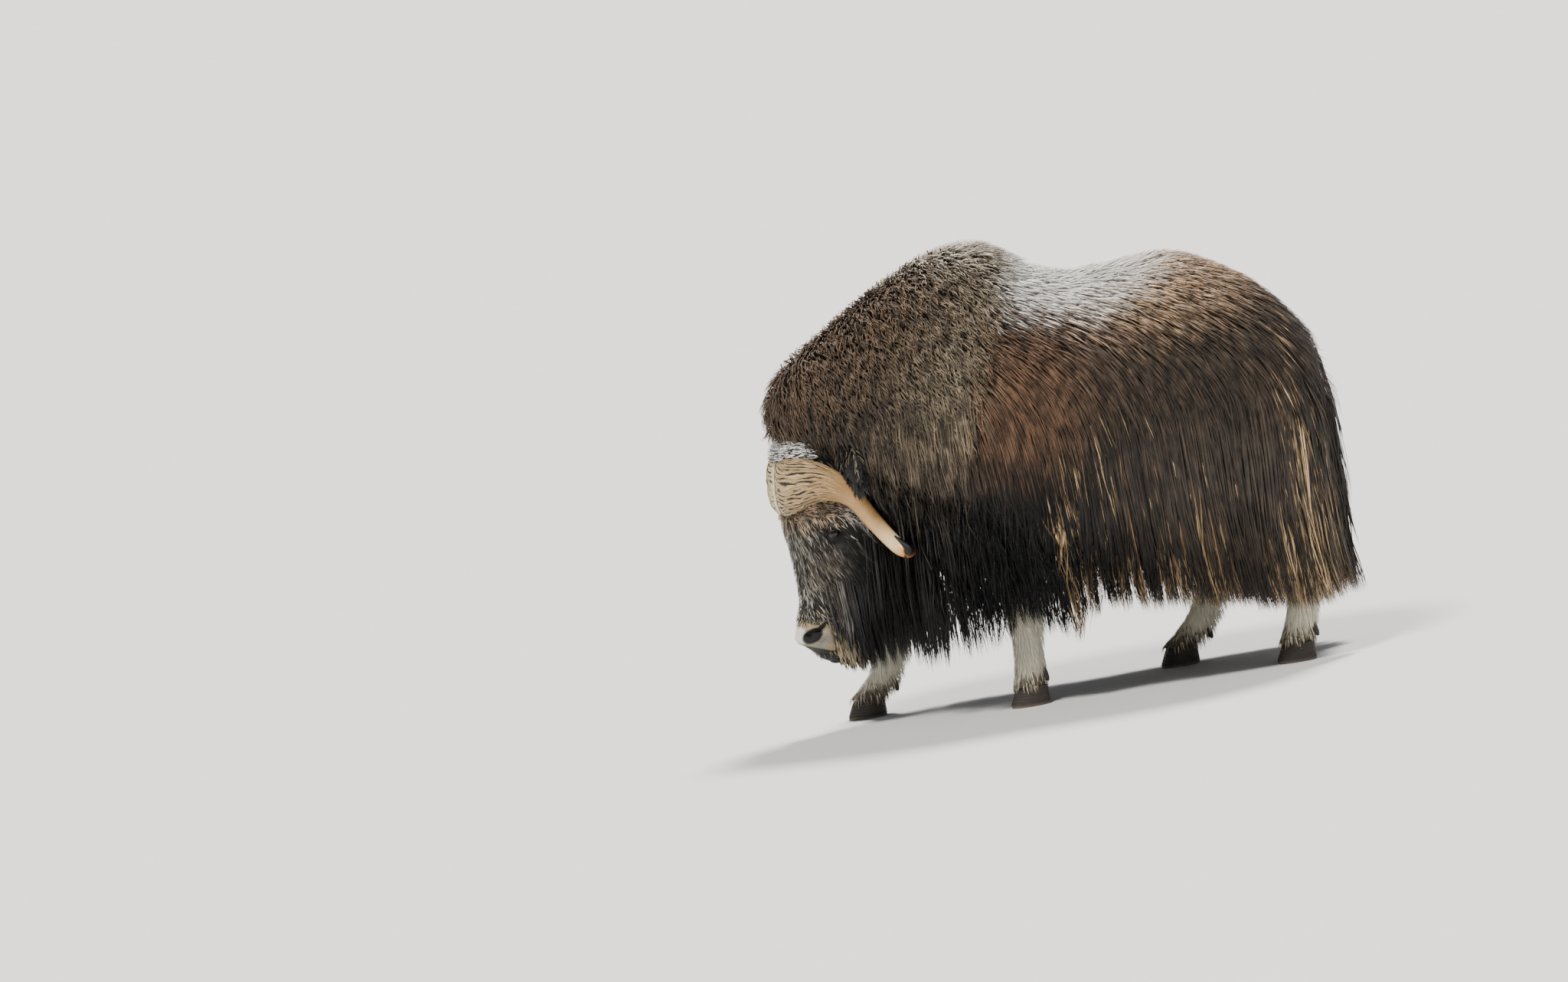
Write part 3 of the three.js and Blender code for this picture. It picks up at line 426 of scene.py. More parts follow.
def dome_rows(ring, inner, bulge, rows=4):
    """Rings past an end: scaled by sqrt(1 - e^2) and moved out by bulge e, for e towards 1."""
    middle = ring.mean(0)
    out = unit(middle - inner.mean(0))
    e = (np.arange(1, rows + 1) / (rows + 0.4))[:, None, None]
    return middle + (ring - middle) * np.sqrt(1 - e**2) + out * bulge * e


def tube_faces(rows, columns):
    """Indices of a tube's points, ring by ring, those one place further round, and the faces between."""
    index = np.arange(rows * columns).reshape(rows, columns)
    after = np.roll(index, -1, axis=1)
    quads = np.stack([index[:-1], after[:-1], after[1:], index[1:]], -1)
    return index, after, quads.reshape(-1, 4)


def closed_surface(grid, bulge=0.0):
    """Points and faces of a tube from a grid of rings (rows), closed at both ends by domes and poles."""
    if bulge:
        start, end = dome_rows(grid[0], grid[1], bulge), dome_rows(grid[-1], grid[-2], bulge)
        grid = np.concatenate([start[::-1], grid, end])
    index, after, quads = tube_faces(*grid.shape[:2])
    pole = np.full(index.shape[1], index.size)
    caps = [np.stack([pole, after[0], index[0]], -1), np.stack([pole + 1, index[-1], after[-1]], -1)]
    caps = np.concatenate(caps)
    points = np.concatenate([grid.reshape(-1, 3), [grid[0].mean(0)], [grid[-1].mean(0)]])
    centre = grid.mean(1, keepdims=True)
    normal = np.cross(np.roll(grid, -1, axis=1) - grid, np.gradient(grid, axis=0))
    if (normal * (grid - centre)).sum() < 0:
        quads, caps = quads[:, ::-1], caps[:, ::-1]
    return points, [quads, caps]


def piece_from(name, points, faces, attributes=None):
    """A mesh object of points and of arrays of faces, with smooth shading; its place is in its mesh."""
    mesh = bpy.data.meshes.new(name)
    mesh.vertices.add(len(points))
    mesh.vertices.foreach_set("co", (points + np.array(shift)).astype(np.float32).ravel())
    corners = np.concatenate([f.ravel() for f in faces])
    sizes = np.concatenate([np.full(len(f), f.shape[1]) for f in faces])
    starts = np.concatenate([[0], np.cumsum(sizes)[:-1]])
    mesh.loops.add(len(corners))
    mesh.loops.foreach_set("vertex_index", corners.astype(np.int32))
    mesh.polygons.add(len(sizes))
    mesh.polygons.foreach_set("loop_start", starts.astype(np.int32))
    mesh.polygons.foreach_set("use_smooth", np.ones(len(sizes), bool))
    for label, values in (attributes or {}).items():
        kind, field = ("FLOAT_VECTOR", "vector") if values.ndim == 2 else ("FLOAT", "value")
        layer = mesh.attributes.new(label, kind, "POINT")
        layer.data.foreach_set(field, values.astype(np.float32).ravel())
    mesh.update(calc_edges=True)
    made = bpy.data.objects.new(name, mesh)
    bpy.context.scene.collection.objects.link(made)
    return made


def settle(made, material, slot, *nodes):
    """Gives a piece its material, hides the nodes that it stands in for and attaches it to its body; the
    slot is not used.
    """
    made.data.materials.append(material)
    if nodes:
        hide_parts(*nodes)
    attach(made, "root")


def joined(surfaces):
    """Points, faces and the index of the surface that each point belongs to."""
    points, faces, owner = [], [], []
    for number, (own_points, own_faces) in enumerate(surfaces):
        first = sum(len(p) for p in points)
        points.append(own_points)
        faces += [f + first for f in own_faces]
        owner.append(np.full(len(own_points), number))
    return np.concatenate(points), faces, np.concatenate(owner)


def even_turns(columns):
    """The turns of a ring's points, evenly spaced."""
    return np.arange(columns)[None, :] / columns


def even_grid(columns, rows):
    """Turns and shares of an even grid."""
    return even_turns(columns), np.linspace(0, 1, rows)[:, None]


limbs = [*legs.values(), *ears.values(), tail]
head_points = head.point(crowded(*HEAD_TURNS)[None, :-1], crowded(*HEAD_SHARES)[:, None])
skins = [
    closed_surface(trunk.point(*even_grid(*TRUNK_GRID)), TRUNK_DOME),
    closed_surface(with_lids(head_points), HEAD_DOME),
    *[closed_surface(form.point(*even_grid(*LIMB_GRID))) for form in limbs],
]
skin_points, skin_faces, skin_owner = joined(skins)
# Owners of points: the trunk, the head, four legs, two ears, the tail
HEAD, FIRST_LEG, LAST_LEG, FIRST_EAR, LAST_EAR = 1, 2, 5, 6, 7


def belonging(owner):
    """Attributes that tell the finish which markings apply: the head's, a leg's or an ear's."""
    return {
        "of_head": (owner == HEAD).astype(float),
        "of_leg": ((owner >= FIRST_LEG) & (owner <= LAST_LEG)).astype(float),
        "of_ear": ((owner >= FIRST_EAR) & (owner <= LAST_EAR)).astype(float),
    }


skin = piece_from("skin", skin_points, skin_faces, belonging(skin_owner))

# The hair's colours: a red-brown mane, grizzled where it ends, paler along the top of the hump as a painted
# highlight, a cream saddle that fades to tan on the rump, dark brown flanks, a near-black throat, the hind
# end darkened to near black as painted shade, golden strands in the skirt, and pale feet.


def tint(red, green, blue):
    """A colour from its three display values, 0 to 255, as the linear values that light uses."""
    display = np.array([red, green, blue]) / 255
    linear = np.where(display < 0.04045, display / 12.92, ((display + 0.055) / 1.055) ** 2.4)
    return (*linear, 1.0)

def by_node(operation, swapped=False):
    """An operator between numbers of a material, which adds a Math node."""

    def calculate(value, *others):
        inputs = (*others, value) if swapped else (value, *others)
        return value.finish.node("ShaderNodeMath", {"operation": operation}, dict(enumerate(inputs)))

    return calculate


class Value:
    """A socket that carries a number, with operators that add nodes to its finish."""

    def __init__(self, finish, socket):
        self.finish = finish
        self.socket = socket

    __add__ = __radd__ = by_node("ADD")
    __sub__ = by_node("SUBTRACT")
    __rsub__ = by_node("SUBTRACT", swapped=True)
    __mul__ = __rmul__ = by_node("MULTIPLY")
    __truediv__ = by_node("DIVIDE")
    __pow__ = by_node("POWER")
    __abs__ = by_node("ABSOLUTE")
    highest = by_node("MAXIMUM")
    fraction = by_node("FRACT")

    def rise(self, low, high):
        """0 where the number is below low, 1 above high, smooth between."""
        limits = {"Value": self, "From Min": low, "From Max": high}
        return self.finish.node("ShaderNodeMapRange", {"interpolation_type": "SMOOTHSTEP"}, limits)

    def fall(self, low, high):
        """1 where the number is below low, 0 above high, smooth between."""
        return 1 - self.rise(low, high)

    def near(self, place, reach):
        """1 at the place, falling smoothly to 0 at the reach from it."""
        return abs(self - place).fall(0.0, reach)

    def brightness(self):
        """0.3 red + 0.6 green + 0.1 blue."""
        weights = {0: self, 1: (0.3, 0.6, 0.1)}
        return self.finish.node("ShaderNodeVectorMath", {"operation": "DOT_PRODUCT"}, weights, 1)


def blob(x, z, middle, reach, edge=0.5):
    """1 inside an oval of the side view, 0 outside, with a soft edge."""
    return (((x - middle[0]) / reach[0]) ** 2 + ((z - middle[1]) / reach[1]) ** 2).fall(1 - edge, 1 + edge)


class Finish:
    """A material under construction, with one method that adds any node."""

    def __init__(self, name, **constants):
        self.material = bpy.data.materials.new(name)
        self.material.use_nodes = True
        self.tree = self.material.node_tree
        self.surface = self.tree.nodes["Principled BSDF"]
        self.surface_of(**constants)

    def node(self, kind, settings=None, inputs=None, output=0):
        """Adds a node: its settings first, then the values or links of its sockets."""
        made = self.tree.nodes.new(kind)
        for setting, value in (settings or {}).items():
            if setting == "stops":
                self.set_stops(made.color_ramp, value)
            else:
                setattr(made, setting, value)
        for socket, value in (inputs or {}).items():
            self.feed(made.inputs[socket], value)
        return Value(self, made.outputs[output])

    def feed(self, socket, value):
        """Links a Value to a socket, or sets the socket to a fixed value."""
        if isinstance(value, Value):
            self.tree.links.new(value.socket, socket)
        else:
            socket.default_value = value

    def set_stops(self, ramp, stops):
        """Gives a colour ramp its stops, each a position and a colour."""
        while len(ramp.elements) < len(stops):
            ramp.elements.new(1.0)
        for element, (position, colour) in zip(ramp.elements, stops):
            element.position = position
            element.color = colour

    def surface_of(self, **given):
        """Feeds inputs of the surface, named with _ for a space, and returns the material."""
        for socket, value in given.items():
            self.feed(self.surface.inputs[socket.replace("_", " ")], value)
        return self.material

    def mix(self, factor, first, second, blend="MIX"):
        """Colours mixed by a factor."""
        settings = {"data_type": "RGBA", "blend_type": blend}
        return self.node("ShaderNodeMix", settings, {0: factor, 6: first, 7: second}, 2)

    def painted(self, colour, *layers):
        """The colour with layers over it, each a mask and a colour."""
        for mask, over in layers:
            colour = self.mix(mask, colour, over)
        return colour

    def between(self, factor, first, second):
        """Vectors mixed by a factor."""
        return self.node("ShaderNodeMix", {"data_type": "VECTOR"}, {0: factor, 4: first, 5: second}, 1)

    def bump(self, strength, distance, height, **normal):
        """A normal tilted by the slopes of a height."""
        inputs = {"Strength": strength, "Distance": distance, "Height": height, **normal}
        return self.node("ShaderNodeBump", None, inputs)

    def noise(self, vector, scale, detail=2.0, roughness=0.5):
        """Fractal noise about 0.5."""
        inputs = {"Vector": vector, "Scale": scale, "Detail": detail, "Roughness": roughness}
        return self.node("ShaderNodeTexNoise", None, inputs)

    def attribute(self, name, output=2):
        """An attribute of the mesh: a number, or a vector from output 1."""
        return self.node("ShaderNodeAttribute", {"attribute_name": name}, None, output)

    def vector(self, operation, first, second):
        """An operation on two vectors."""
        return self.node("ShaderNodeVectorMath", {"operation": operation}, {0: first, 1: second})

    def split(self, vector):
        """The three numbers of a vector."""
        parts = self.node("ShaderNodeSeparateXYZ", None, {0: vector}).socket.node
        return [Value(self, output) for output in parts.outputs]

    def join(self, x, y, z):
        """A vector of three numbers."""
        return self.node("ShaderNodeCombineXYZ", None, {0: x, 1: y, 2: z})

    def object_place(self):
        """Object coordinates."""
        return self.node("ShaderNodeTexCoord", None, None, 3)

    def drawn_place(self):
        """Object coordinates moved back to the frame in which the animal is drawn."""
        return self.vector("SUBTRACT", self.object_place(), tuple(shift))


MANE_EDGE, MANE_LEAN = -0.044, 0.42
BROW_HEIGHT, BROW_MIDDLE, BROW_CURVE = 0.686, -0.575, 1.91
WHITE = tint(255, 253, 246)
GOLD_DARK, GOLD_LIGHT = tint(124, 96, 66), tint(226, 192, 144)


def trunk_markings(finish, place, tone):
    """Colour of the trunk's hair at a place, by its distance from each marking."""
    x, _, z = finish.split(place)
    uneven = finish.noise(place, 7.0, 4.0, 0.6) - 0.5
    x, z = x + uneven * 0.20, z + uneven * 0.16
    behind = x - MANE_EDGE - MANE_LEAN * (z - 0.85)
    likely = x.rise(0.10, 0.26) * 0.59 - z.rise(0.46, 0.98) * 0.55
    likely = likely - x.near(0.76, 0.12) * 0.22 + x.near(0.93, 0.035) * 0.30
    body = finish.painted(
        finish.mix(z.rise(0.62, 1.08), tint(6, 6, 7), tint(78, 61, 48)),
        (x.rise(0.20, 0.65), finish.mix(z.rise(0.35, 0.95), tint(24, 20, 16), tint(62, 51, 41))),
        (blob(x, z, (0.10, 0.96), (0.20, 0.20), 1.0) * 0.8, tint(108, 79, 57)),
        (blob(x, z, (0.59, 1.28), (0.36, 0.20), 0.9), tint(168, 136, 104)),
        (blob(x, z, (0.36, 1.33), (0.28, 0.17), 0.7), WHITE),
        ((tone + likely).rise(0.94, 1.22) * 0.9, finish.mix((tone * 5.0).fraction(), GOLD_DARK, GOLD_LIGHT)),
        # painted shade: the rear-facing hind end darkened to near black
        (x.rise(0.93, 1.06) * z.fall(0.60, 1.10), tint(26, 21, 18)),
    )
    mane = finish.painted(
        tint(22, 21, 20),
        ((z + x.rise(-0.40, -0.15) * 0.08).rise(0.64, 0.84), tint(64, 54, 43)),
        (z.rise(0.86, 1.12), tint(80, 66, 49)),
        ((z - x * 0.55).rise(1.12, 1.36), tint(90, 71, 53)),
        (behind.rise(-0.34, -0.04) * z.rise(0.70, 0.96) * (1.0 - z * 0.25), tint(128, 115, 94)),
        # painted highlight: the mane pales along the top of the hump, where the rim light catches it
        (z.rise(1.30, 1.42), tint(226, 214, 196)),
    )
    throat = x.fall(-0.20, 0.02) * z.fall(0.46, 0.74)
    return finish.painted(mane, (behind.rise(-0.03, 0.04), body), (throat, tint(22, 20, 19)))


def head_markings(finish, place, tone):
    """Colour of the face, in the head's own frame: dark cheeks, a grizzled bridge, cream over the eye,
    round the nostrils and on the lips; painted shade round the eye and below the mouth, and a pale rim at
    the front of the nose brightened as a painted glint."""
    moved = finish.vector("SUBTRACT", place, (HEAD_AXIS, 0, 0))
    turn_back = {"Vector": moved, "Angle": -HEAD_TURN}
    x, y, z = finish.split(finish.node("ShaderNodeVectorRotate", {"rotation_type": "Z_AXIS"}, turn_back))
    x, y = x + HEAD_AXIS, abs(y)
    bridge = x.fall(-0.565, -0.440) * z.rise(0.34, 0.40) * z.fall(0.60, 0.68)
    silver = bridge * (tone + finish.noise(place, 30.0, 2.0) * 0.4).rise(0.58, 0.84)
    arc = abs(z - BROW_HEIGHT + BROW_CURVE * (x - BROW_MIDDLE) ** 2)
    crescent = arc.fall(0.016, 0.034) * x.fall(-0.41, -0.38)
    pale = finish.mix(x.rise(-0.50, -0.44), tint(196, 166, 132), tint(255, 252, 244))
    round_mouth = ((x + 0.604) / 0.118) ** 2 + ((z - 0.268) / 0.078) ** 2
    slant = z - 0.303 - (x + 0.612) * 0.30
    nostril = blob(x, slant, (-0.607, -0.002), (0.030, 0.021), 0.30)
    slit = blob(x, slant - (x + 0.590) * 0.35, (-0.583, 0.006), (0.026, 0.009), 0.30)
    # painted shade: near black below the mouth line, over the lower lip and chin
    shade_below_mouth = (z + (x + 0.634) * 0.36).fall(0.272, 0.279)
    return finish.painted(
        finish.mix(z.rise(0.34, 0.58), tint(26, 25, 27), tint(44, 41, 38)),
        (tone.rise(0.66, 0.86) * x.fall(-0.46, -0.36) * 0.8, tint(122, 119, 116)),
        (silver * 0.85, tint(164, 159, 146)),
        (blob(x, z, (-0.540, 0.500), (0.040, 0.050), 0.8) * 0.5, tint(96, 74, 58)),
        (crescent * 0.95, pale),
        # painted shade: a near-black oval round the eye, deep in its socket under the brow
        (blob(x, z, (-0.507, 0.600), (0.050, 0.032), 0.5) * 0.95, tint(11, 10, 10)),
        (z.rise(0.838, 0.852) * x.fall(-0.53, -0.49), tint(255, 254, 248)),
        ((round_mouth + (tone - 0.5) * 0.2).fall(0.80, 1.10) * 0.95, tint(196, 174, 134)),
        (blob(x, z, (-0.600, 0.286), (0.050, 0.030), 0.45) * 0.8, tint(176, 172, 160)),
        # a pale rim at the front of the nose, brightened as a painted glint on the wet pad
        (blob(x, z, (-0.640, 0.306), (0.016, 0.026), 0.5), tint(236, 232, 220)),
        (nostril.highest(slit) * y.rise(0.018, 0.028), tint(2, 2, 2)),
        (shade_below_mouth, tint(26, 24, 23)),
    )


def leg_markings(finish, place):
    """Dark above the knee, cream down the leg, and brown at the hoof."""
    z = finish.split(place)[2]
    uneven = finish.noise(place, 22.0, 3.0) - 0.5
    colour = finish.mix((z + uneven * 0.12).rise(0.24, 0.42), tint(236, 230, 206), tint(70, 58, 46))
    return finish.mix((z + uneven * 0.03).fall(0.06, 0.12), colour, tint(120, 106, 84))


def fur_colour(finish, place, tone):
    """The markings of whichever form the hair or skin belongs to."""
    ear = finish.mix(tone.rise(0.50, 0.68), tint(24, 22, 21), tint(120, 108, 88))
    return finish.painted(
        trunk_markings(finish, place, tone),
        (finish.attribute("of_head"), head_markings(finish, place, tone)),
        (finish.attribute("of_leg"), leg_markings(finish, place)),
        (finish.attribute("of_ear"), ear),
    )


def skin_finish():
    """Close fur: the markings, darkened at the hair roots by painted shade in fine strands, less where the
    colour is pale, with a fine bump drawn out down the body.
    """
    finish = Finish("skin_fur", Roughness=0.75)
    place = finish.drawn_place()
    x, y, z = finish.split(place)
    strands = finish.noise(finish.join(x * 3.0, y * 3.0, z), 160.0, 3.0, 0.7)
    middle_tone = finish.node("ShaderNodeMath", None, {0: 0.5, 1: 0.0})
    colour = fur_colour(finish, place, middle_tone)
    # painted shade: the skin that shows between the locks, darkened in fine strands, less where the colour
    # is pale
    shade = finish.mix(strands.rise(0.3, 0.7), (0.25, 0.25, 0.25, 1), (0.8, 0.8, 0.8, 1))
    shade = finish.mix(colour.brightness().rise(0.25, 0.75), shade, (0.95, 0.95, 0.95, 1))
    return finish.surface_of(
        Base_Color=finish.mix(1.0, colour, shade, "MULTIPLY"),
        Normal=finish.bump(0.7, 0.003, strands),
        Roughness=0.85 - 0.2 * strands,
    )


FLESH = ["head", "neck", "torso_barrel", "torso_rump", "tail", "ear_left", "ear_right"]
FLESH += [f"leg_{name}" for name in LEG_STATIONS]
settle(skin, skin_finish(), "long_coat", *FLESH)

# The coat is two layers of hair, soft wool and long guard hairs that reach nearly to the floor. Each lock
# of hair is a thin three-cornered blade, rooted in the skin, combed along the lie of the coat, and drawn
# together with its neighbours towards its tip.
BLADE_THICKNESS = 0.3
PATCH = 0.003
ROOT_GRID = (181, 161)


class Hair:
    """Roots scattered over a form: places, ways out, the share of a turn and of the length, and draws."""

    def __init__(self, form, count, seed, turns=(0, 1), shares=(0, 1), where=None):
        self.form = form
        self.draw = np.random.default_rng(seed)
        turn, share = np.linspace(*turns, ROOT_GRID[0]), np.linspace(*shares, ROOT_GRID[1])
        corners = form.smooth_point(turn[None, :], share[:, None])
        a, b = corners[1:, 1:] - corners[:-1, :-1], corners[1:, :-1] - corners[:-1, 1:]
        weight = np.linalg.norm(np.cross(a, b), axis=-1)
        if where is not None:
            weight = weight * where(corners[:-1, :-1] + a / 2)
        chosen = self.draw.choice(weight.size, count, p=weight.ravel() / weight.sum())
        row, column = np.divmod(chosen, weight.shape[1])
        self.share = share[row] + self.draw.random(count) * (share[1] - share[0])
        self.turn = turn[column] + self.draw.random(count) * (turn[1] - turn[0])
        self.roots = form.point(self.turn, self.share)
        self.out = form.outward(self.turn, self.share)
        self.count = count

    def between(self, low, high):
        """A number drawn evenly between two for each lock."""
        return self.draw.uniform(low, high, self.count)

    def scattered(self, size):
        """Random vectors of about the given size, one for each lock."""
        return self.draw.normal(0, 0.6, (self.count, 3)) * np.reshape(size, (-1, 1))

    def way(self, x, y, z=-1.0):
        """A direction for each lock."""
        return np.stack(np.broadcast_arrays(x, y, z, self.share)[:3], -1)

    def comb(self, way, length, lift, rings, sunk=0.012):
        """Ring by ring: each lock goes on along its way, less the part that would enter the form, and
        is raised to lift share^0.6 above the skin. A lock that leaves the form hangs free."""
        way = unit(np.broadcast_to(way, self.roots.shape))
        shares = np.linspace(0, 1, rings)
        place, out = self.roots, self.out
        paths, outs = [place - out * sunk], [out]
        for share, before in zip(shares[1:], shares[:-1]):
            into = np.minimum((way * out).sum(-1, keepdims=True), 0)
            place = place + unit(way - into * out) * (length * (share - before))[:, None]
            height, out = self.form.height_and_way_out(place)
            place = place + out * np.maximum(lift * share**0.6 - height, 0)[:, None]
            paths.append(place)
            outs.append(out)
        self.paths, self.outs = np.stack(paths, 1), np.stack(outs, 1)
        self.shares = shares
        self.layer = np.clip((lift - lift.min()) / max(np.ptp(lift), 0.004), 0, 1)

    def gather(self, size, pull, axes=(0, 1, 2)):
        """Draws the locks of each cell of the given size towards their mean path, more towards the tip."""
        cell = np.floor(self.roots[:, axes] / size + self.draw.uniform(-0.3, 0.3, (self.count, len(axes))))
        _, self.bunch = np.unique(cell, axis=0, return_inverse=True)
        self.bunch = self.bunch.ravel()
        number = np.bincount(self.bunch)[:, None, None]
        total = np.zeros((len(number), *self.paths.shape[1:]))
        np.add.at(total, self.bunch, self.paths)
        mean = (total / number)[self.bunch]
        self.paths += (mean - self.paths) * (pull * self.shares**1.3)[None, :, None]

    def wave(self, size, turns, curl=0.6):
        """Adds size sin(2 pi (turns share + phase)) across the lock and curl of it, a quarter turn
        later, along its way out; size and turns are ranges, and locks of one bunch wave together."""
        size, turns = self.between(*size), self.between(*turns)
        phase = self.draw.random(self.bunch.max() + 1)[self.bunch] + self.between(-0.08, 0.08)
        angle = 2 * np.pi * (self.shares[None, :] * turns[:, None] + phase[:, None])
        strength = size[:, None] * self.shares[None, :] ** 0.7
        across = unit(np.cross(np.gradient(self.paths, axis=1), self.outs))
        self.paths += across * (strength * np.sin(angle))[..., None]
        self.paths += self.outs * (strength * curl * np.abs(np.cos(angle)))[..., None]

    def bend(self, offset, power=2.5):
        """Moves each lock by offset share^power."""
        self.paths += np.asarray(offset).reshape(-1, 1, 3) * (self.shares**power)[None, :, None]

    def keep_supple(self, least):
        """Leaves out the locks that turn sharply: least is the cosine between a step and the next."""
        steps = unit(np.diff(self.paths, axis=1))[:, 1:]
        self.keep((steps[:, 1:] * steps[:, :-1]).sum(-1).min(1) > least)

    def keep(self, wanted):
        """Leaves out the other locks."""
        for label in ("roots", "out", "share", "turn", "paths", "outs", "bunch", "layer"):
            setattr(self, label, getattr(self, label)[wanted])
        self.count = int(wanted.sum())

    def blades(self, name, breadth, slot, owner=0):
        """Closed blades of three corners round each path, in a range of breadths, widest a third of the
        way and thin at the tip."""
        breadth = self.between(*breadth)
        rings = self.paths.shape[1]
        along = unit(np.gradient(self.paths, axis=1))
        flat = unit(np.cross(along, self.outs))
        ridge = unit(np.cross(flat, along))
        full = np.repeat(breadth[:, None] / 2, rings, axis=1)
        full = full * (0.35 + 0.65 * smooth(self.shares, 0, 0.35)) * (1 - self.shares**2.2) ** 0.8
        tube = np.stack([
            self.paths + flat * (full * wide)[..., None] + ridge * (full * BLADE_THICKNESS * high)[..., None]
            for wide, high in ((-1, -0.5), (0, 1), (1, -0.5))
        ], 2)[:, :-1]
        points = np.concatenate([tube.reshape(self.count, -1, 3), self.paths[:, -1:]], 1)
        per_lock = points.shape[1]
        first = np.arange(self.count)[:, None, None] * per_lock
        index, after, quads = tube_faces(rings - 1, 3)
        tips = np.stack([index[-1], after[-1], np.full(3, index.size)], -1)
        faces = [(first + own).reshape(-1, own.shape[1]) for own in (quads, tips, index[:1, ::-1])]
        tone = np.repeat(self.draw.random(self.count), per_lock)
        bunch_tone = self.draw.random(self.bunch.max() + 1)[self.bunch]
        over = unit(np.concatenate([np.repeat(self.outs[:, :-1], 3, axis=1), self.outs[:, -1:]], 1))
        share = np.append(np.repeat(self.shares[:-1], 3), 1.0)
        across = np.append(np.tile([-1.0, 0.0, 1.0], rings - 1), 0.0)
        lock = np.stack([np.tile(across, self.count), np.tile(share, self.count), tone], -1)
        bunch = np.stack([bunch_tone, self.layer, np.zeros(self.count)], -1)
        attributes = {
            "lock": lock,
            "root": np.repeat(self.roots, per_lock, axis=0),
            "over": over.reshape(-1, 3),
            "bunch": np.repeat(bunch, per_lock, axis=0),
            **belonging(np.full(len(tone), owner)),
        }
        made = piece_from(name, points.reshape(-1, 3), faces, attributes)
        self.unwrap(made, faces, across, share, per_lock)
        settle(made, coat_finish, slot)

    def unwrap(self, made, faces, across, share, per_lock):
        """A patch PATCH across for each lock, at its root's place on the form's own unwrap (turn, share):
        the patch's width runs round the blade and its height along it."""
        corners = np.concatenate([f.ravel() for f in faces])
        lock_number, corner = np.divmod(corners, per_lock)
        root = np.stack([self.turn % 1, self.share], -1)[lock_number]
        local = np.stack([across[corner] / 2, share[corner] - 0.5], -1)
        layer = made.data.uv_layers.new(name="OFBake")
        layer.data.foreach_set("uv", (root + local * PATCH).astype(np.float32).ravel())


def hair_finish():
    """Hair: the markings at the lock's root and along it, with fine strands in every lock, random tone by
    lock and bunch, and painted shade that darkens each lock towards its root and the under layer of locks,
    less where the colour is pale.
    """
    finish = Finish("coat_hair", Roughness=0.5, Specular_IOR_Level=0.35)
    across, share, tone = finish.split(finish.attribute("lock", 1))
    bunch, layer, _ = finish.split(finish.attribute("bunch", 1))
    place = finish.drawn_place()
    x, y, z = finish.split(place)
    halfway = finish.between(0.5, finish.attribute("root", 1), place)
    stray = finish.join((tone - 0.5) * 0.09, 0.0, ((tone * 7.0).fraction() - 0.5) * 0.09)
    colour = fur_colour(finish, finish.vector("ADD", halfway, stray), tone * 0.58 + bunch * 0.42)
    strands = finish.noise(finish.join(across * 1.6 + tone * 91.0, share * 1.3, tone * 37.0), 2.4, 3.0, 0.65)
    clumps = finish.noise(finish.join(x, y, z * 0.45), 34.0, 3.0, 0.6)
    # painted shade: each lock darker towards its root (share) and in the under layer (layer), with random
    # tone by lock and bunch
    light = tone * 0.50 + bunch * 0.45 + layer * 0.20 + share * 0.45 - 0.06
    light = (light + strands.rise(0.32, 0.68) * 0.45) * (0.45 + clumps.rise(0.32, 0.68) * 1.1)
    light = light + (1.0 - light) * colour.brightness().rise(0.25, 0.75) * 0.85
    facing = finish.node("ShaderNodeNewGeometry", None, None, 1)
    soft = finish.vector("NORMALIZE", finish.between(0.6, facing, finish.attribute("over", 1)), (0, 0, 0))
    return finish.surface_of(
        Base_Color=finish.mix(1.0, colour, finish.join(light, light, light), "MULTIPLY"),
        Normal=finish.bump(0.4, 0.002, strands, Normal=soft),
        Sheen_Weight=0.12,
        Sheen_Roughness=0.4,
    )


coat_finish = hair_finish()

# The mane is dense crimped wool over the neck and hump, rooted in the skin. It lies back and down, and
# stands out in rounded bunches whose tips catch the light; longer wool hangs from the side of the neck.
FACE_TOP, HORN_MARGIN, EAR_MARGIN, EAR_LENGTH_SQUARED = 0.86, 0.008, 0.036, 0.037
SIDE_NAMES = {-1: "left", 1: "right"}
# The horns' middle (x, y, z), direction of their thickness (x, y, z), half breadth and half thickness
HORN_STATIONS = [
    (-0.600, -0.007, 0.755, -1, 0, 0.1, 0.092, 0.030),
    (-0.609, -0.045, 0.757, -0.97, -0.2, 0.1, 0.089, 0.034),
    (-0.602, -0.092, 0.763, -0.8, -0.6, 0.15, 0.082, 0.036),
    (-0.566, -0.130, 0.767, -0.4, -0.9, 0.15, 0.073, 0.034),
    (-0.523, -0.152, 0.758, -0.1, -1, 0.1, 0.057, 0.031),
    (-0.483, -0.166, 0.738, 0, -1, 0.05, 0.043, 0.029),
    (-0.442, -0.179, 0.701, 0, -1, 0, 0.031, 0.027),
    (-0.404, -0.191, 0.637, 0, -1, 0, 0.0265, 0.025),
    (-0.366, -0.207, 0.575, -0.1, -1, -0.1, 0.0245, 0.0235),
    (-0.337, -0.230, 0.532, -0.1, -0.8, -0.5, 0.022, 0.021),
    (-0.318, -0.262, 0.520, 0, -0.5, -0.85, 0.018, 0.017),
    (-0.331, -0.288, 0.543, 0, -0.9, -0.3, 0.011, 0.011),
    (-0.364, -0.300, 0.580, 0, -1, 0, 0.0022, 0.0022),
]


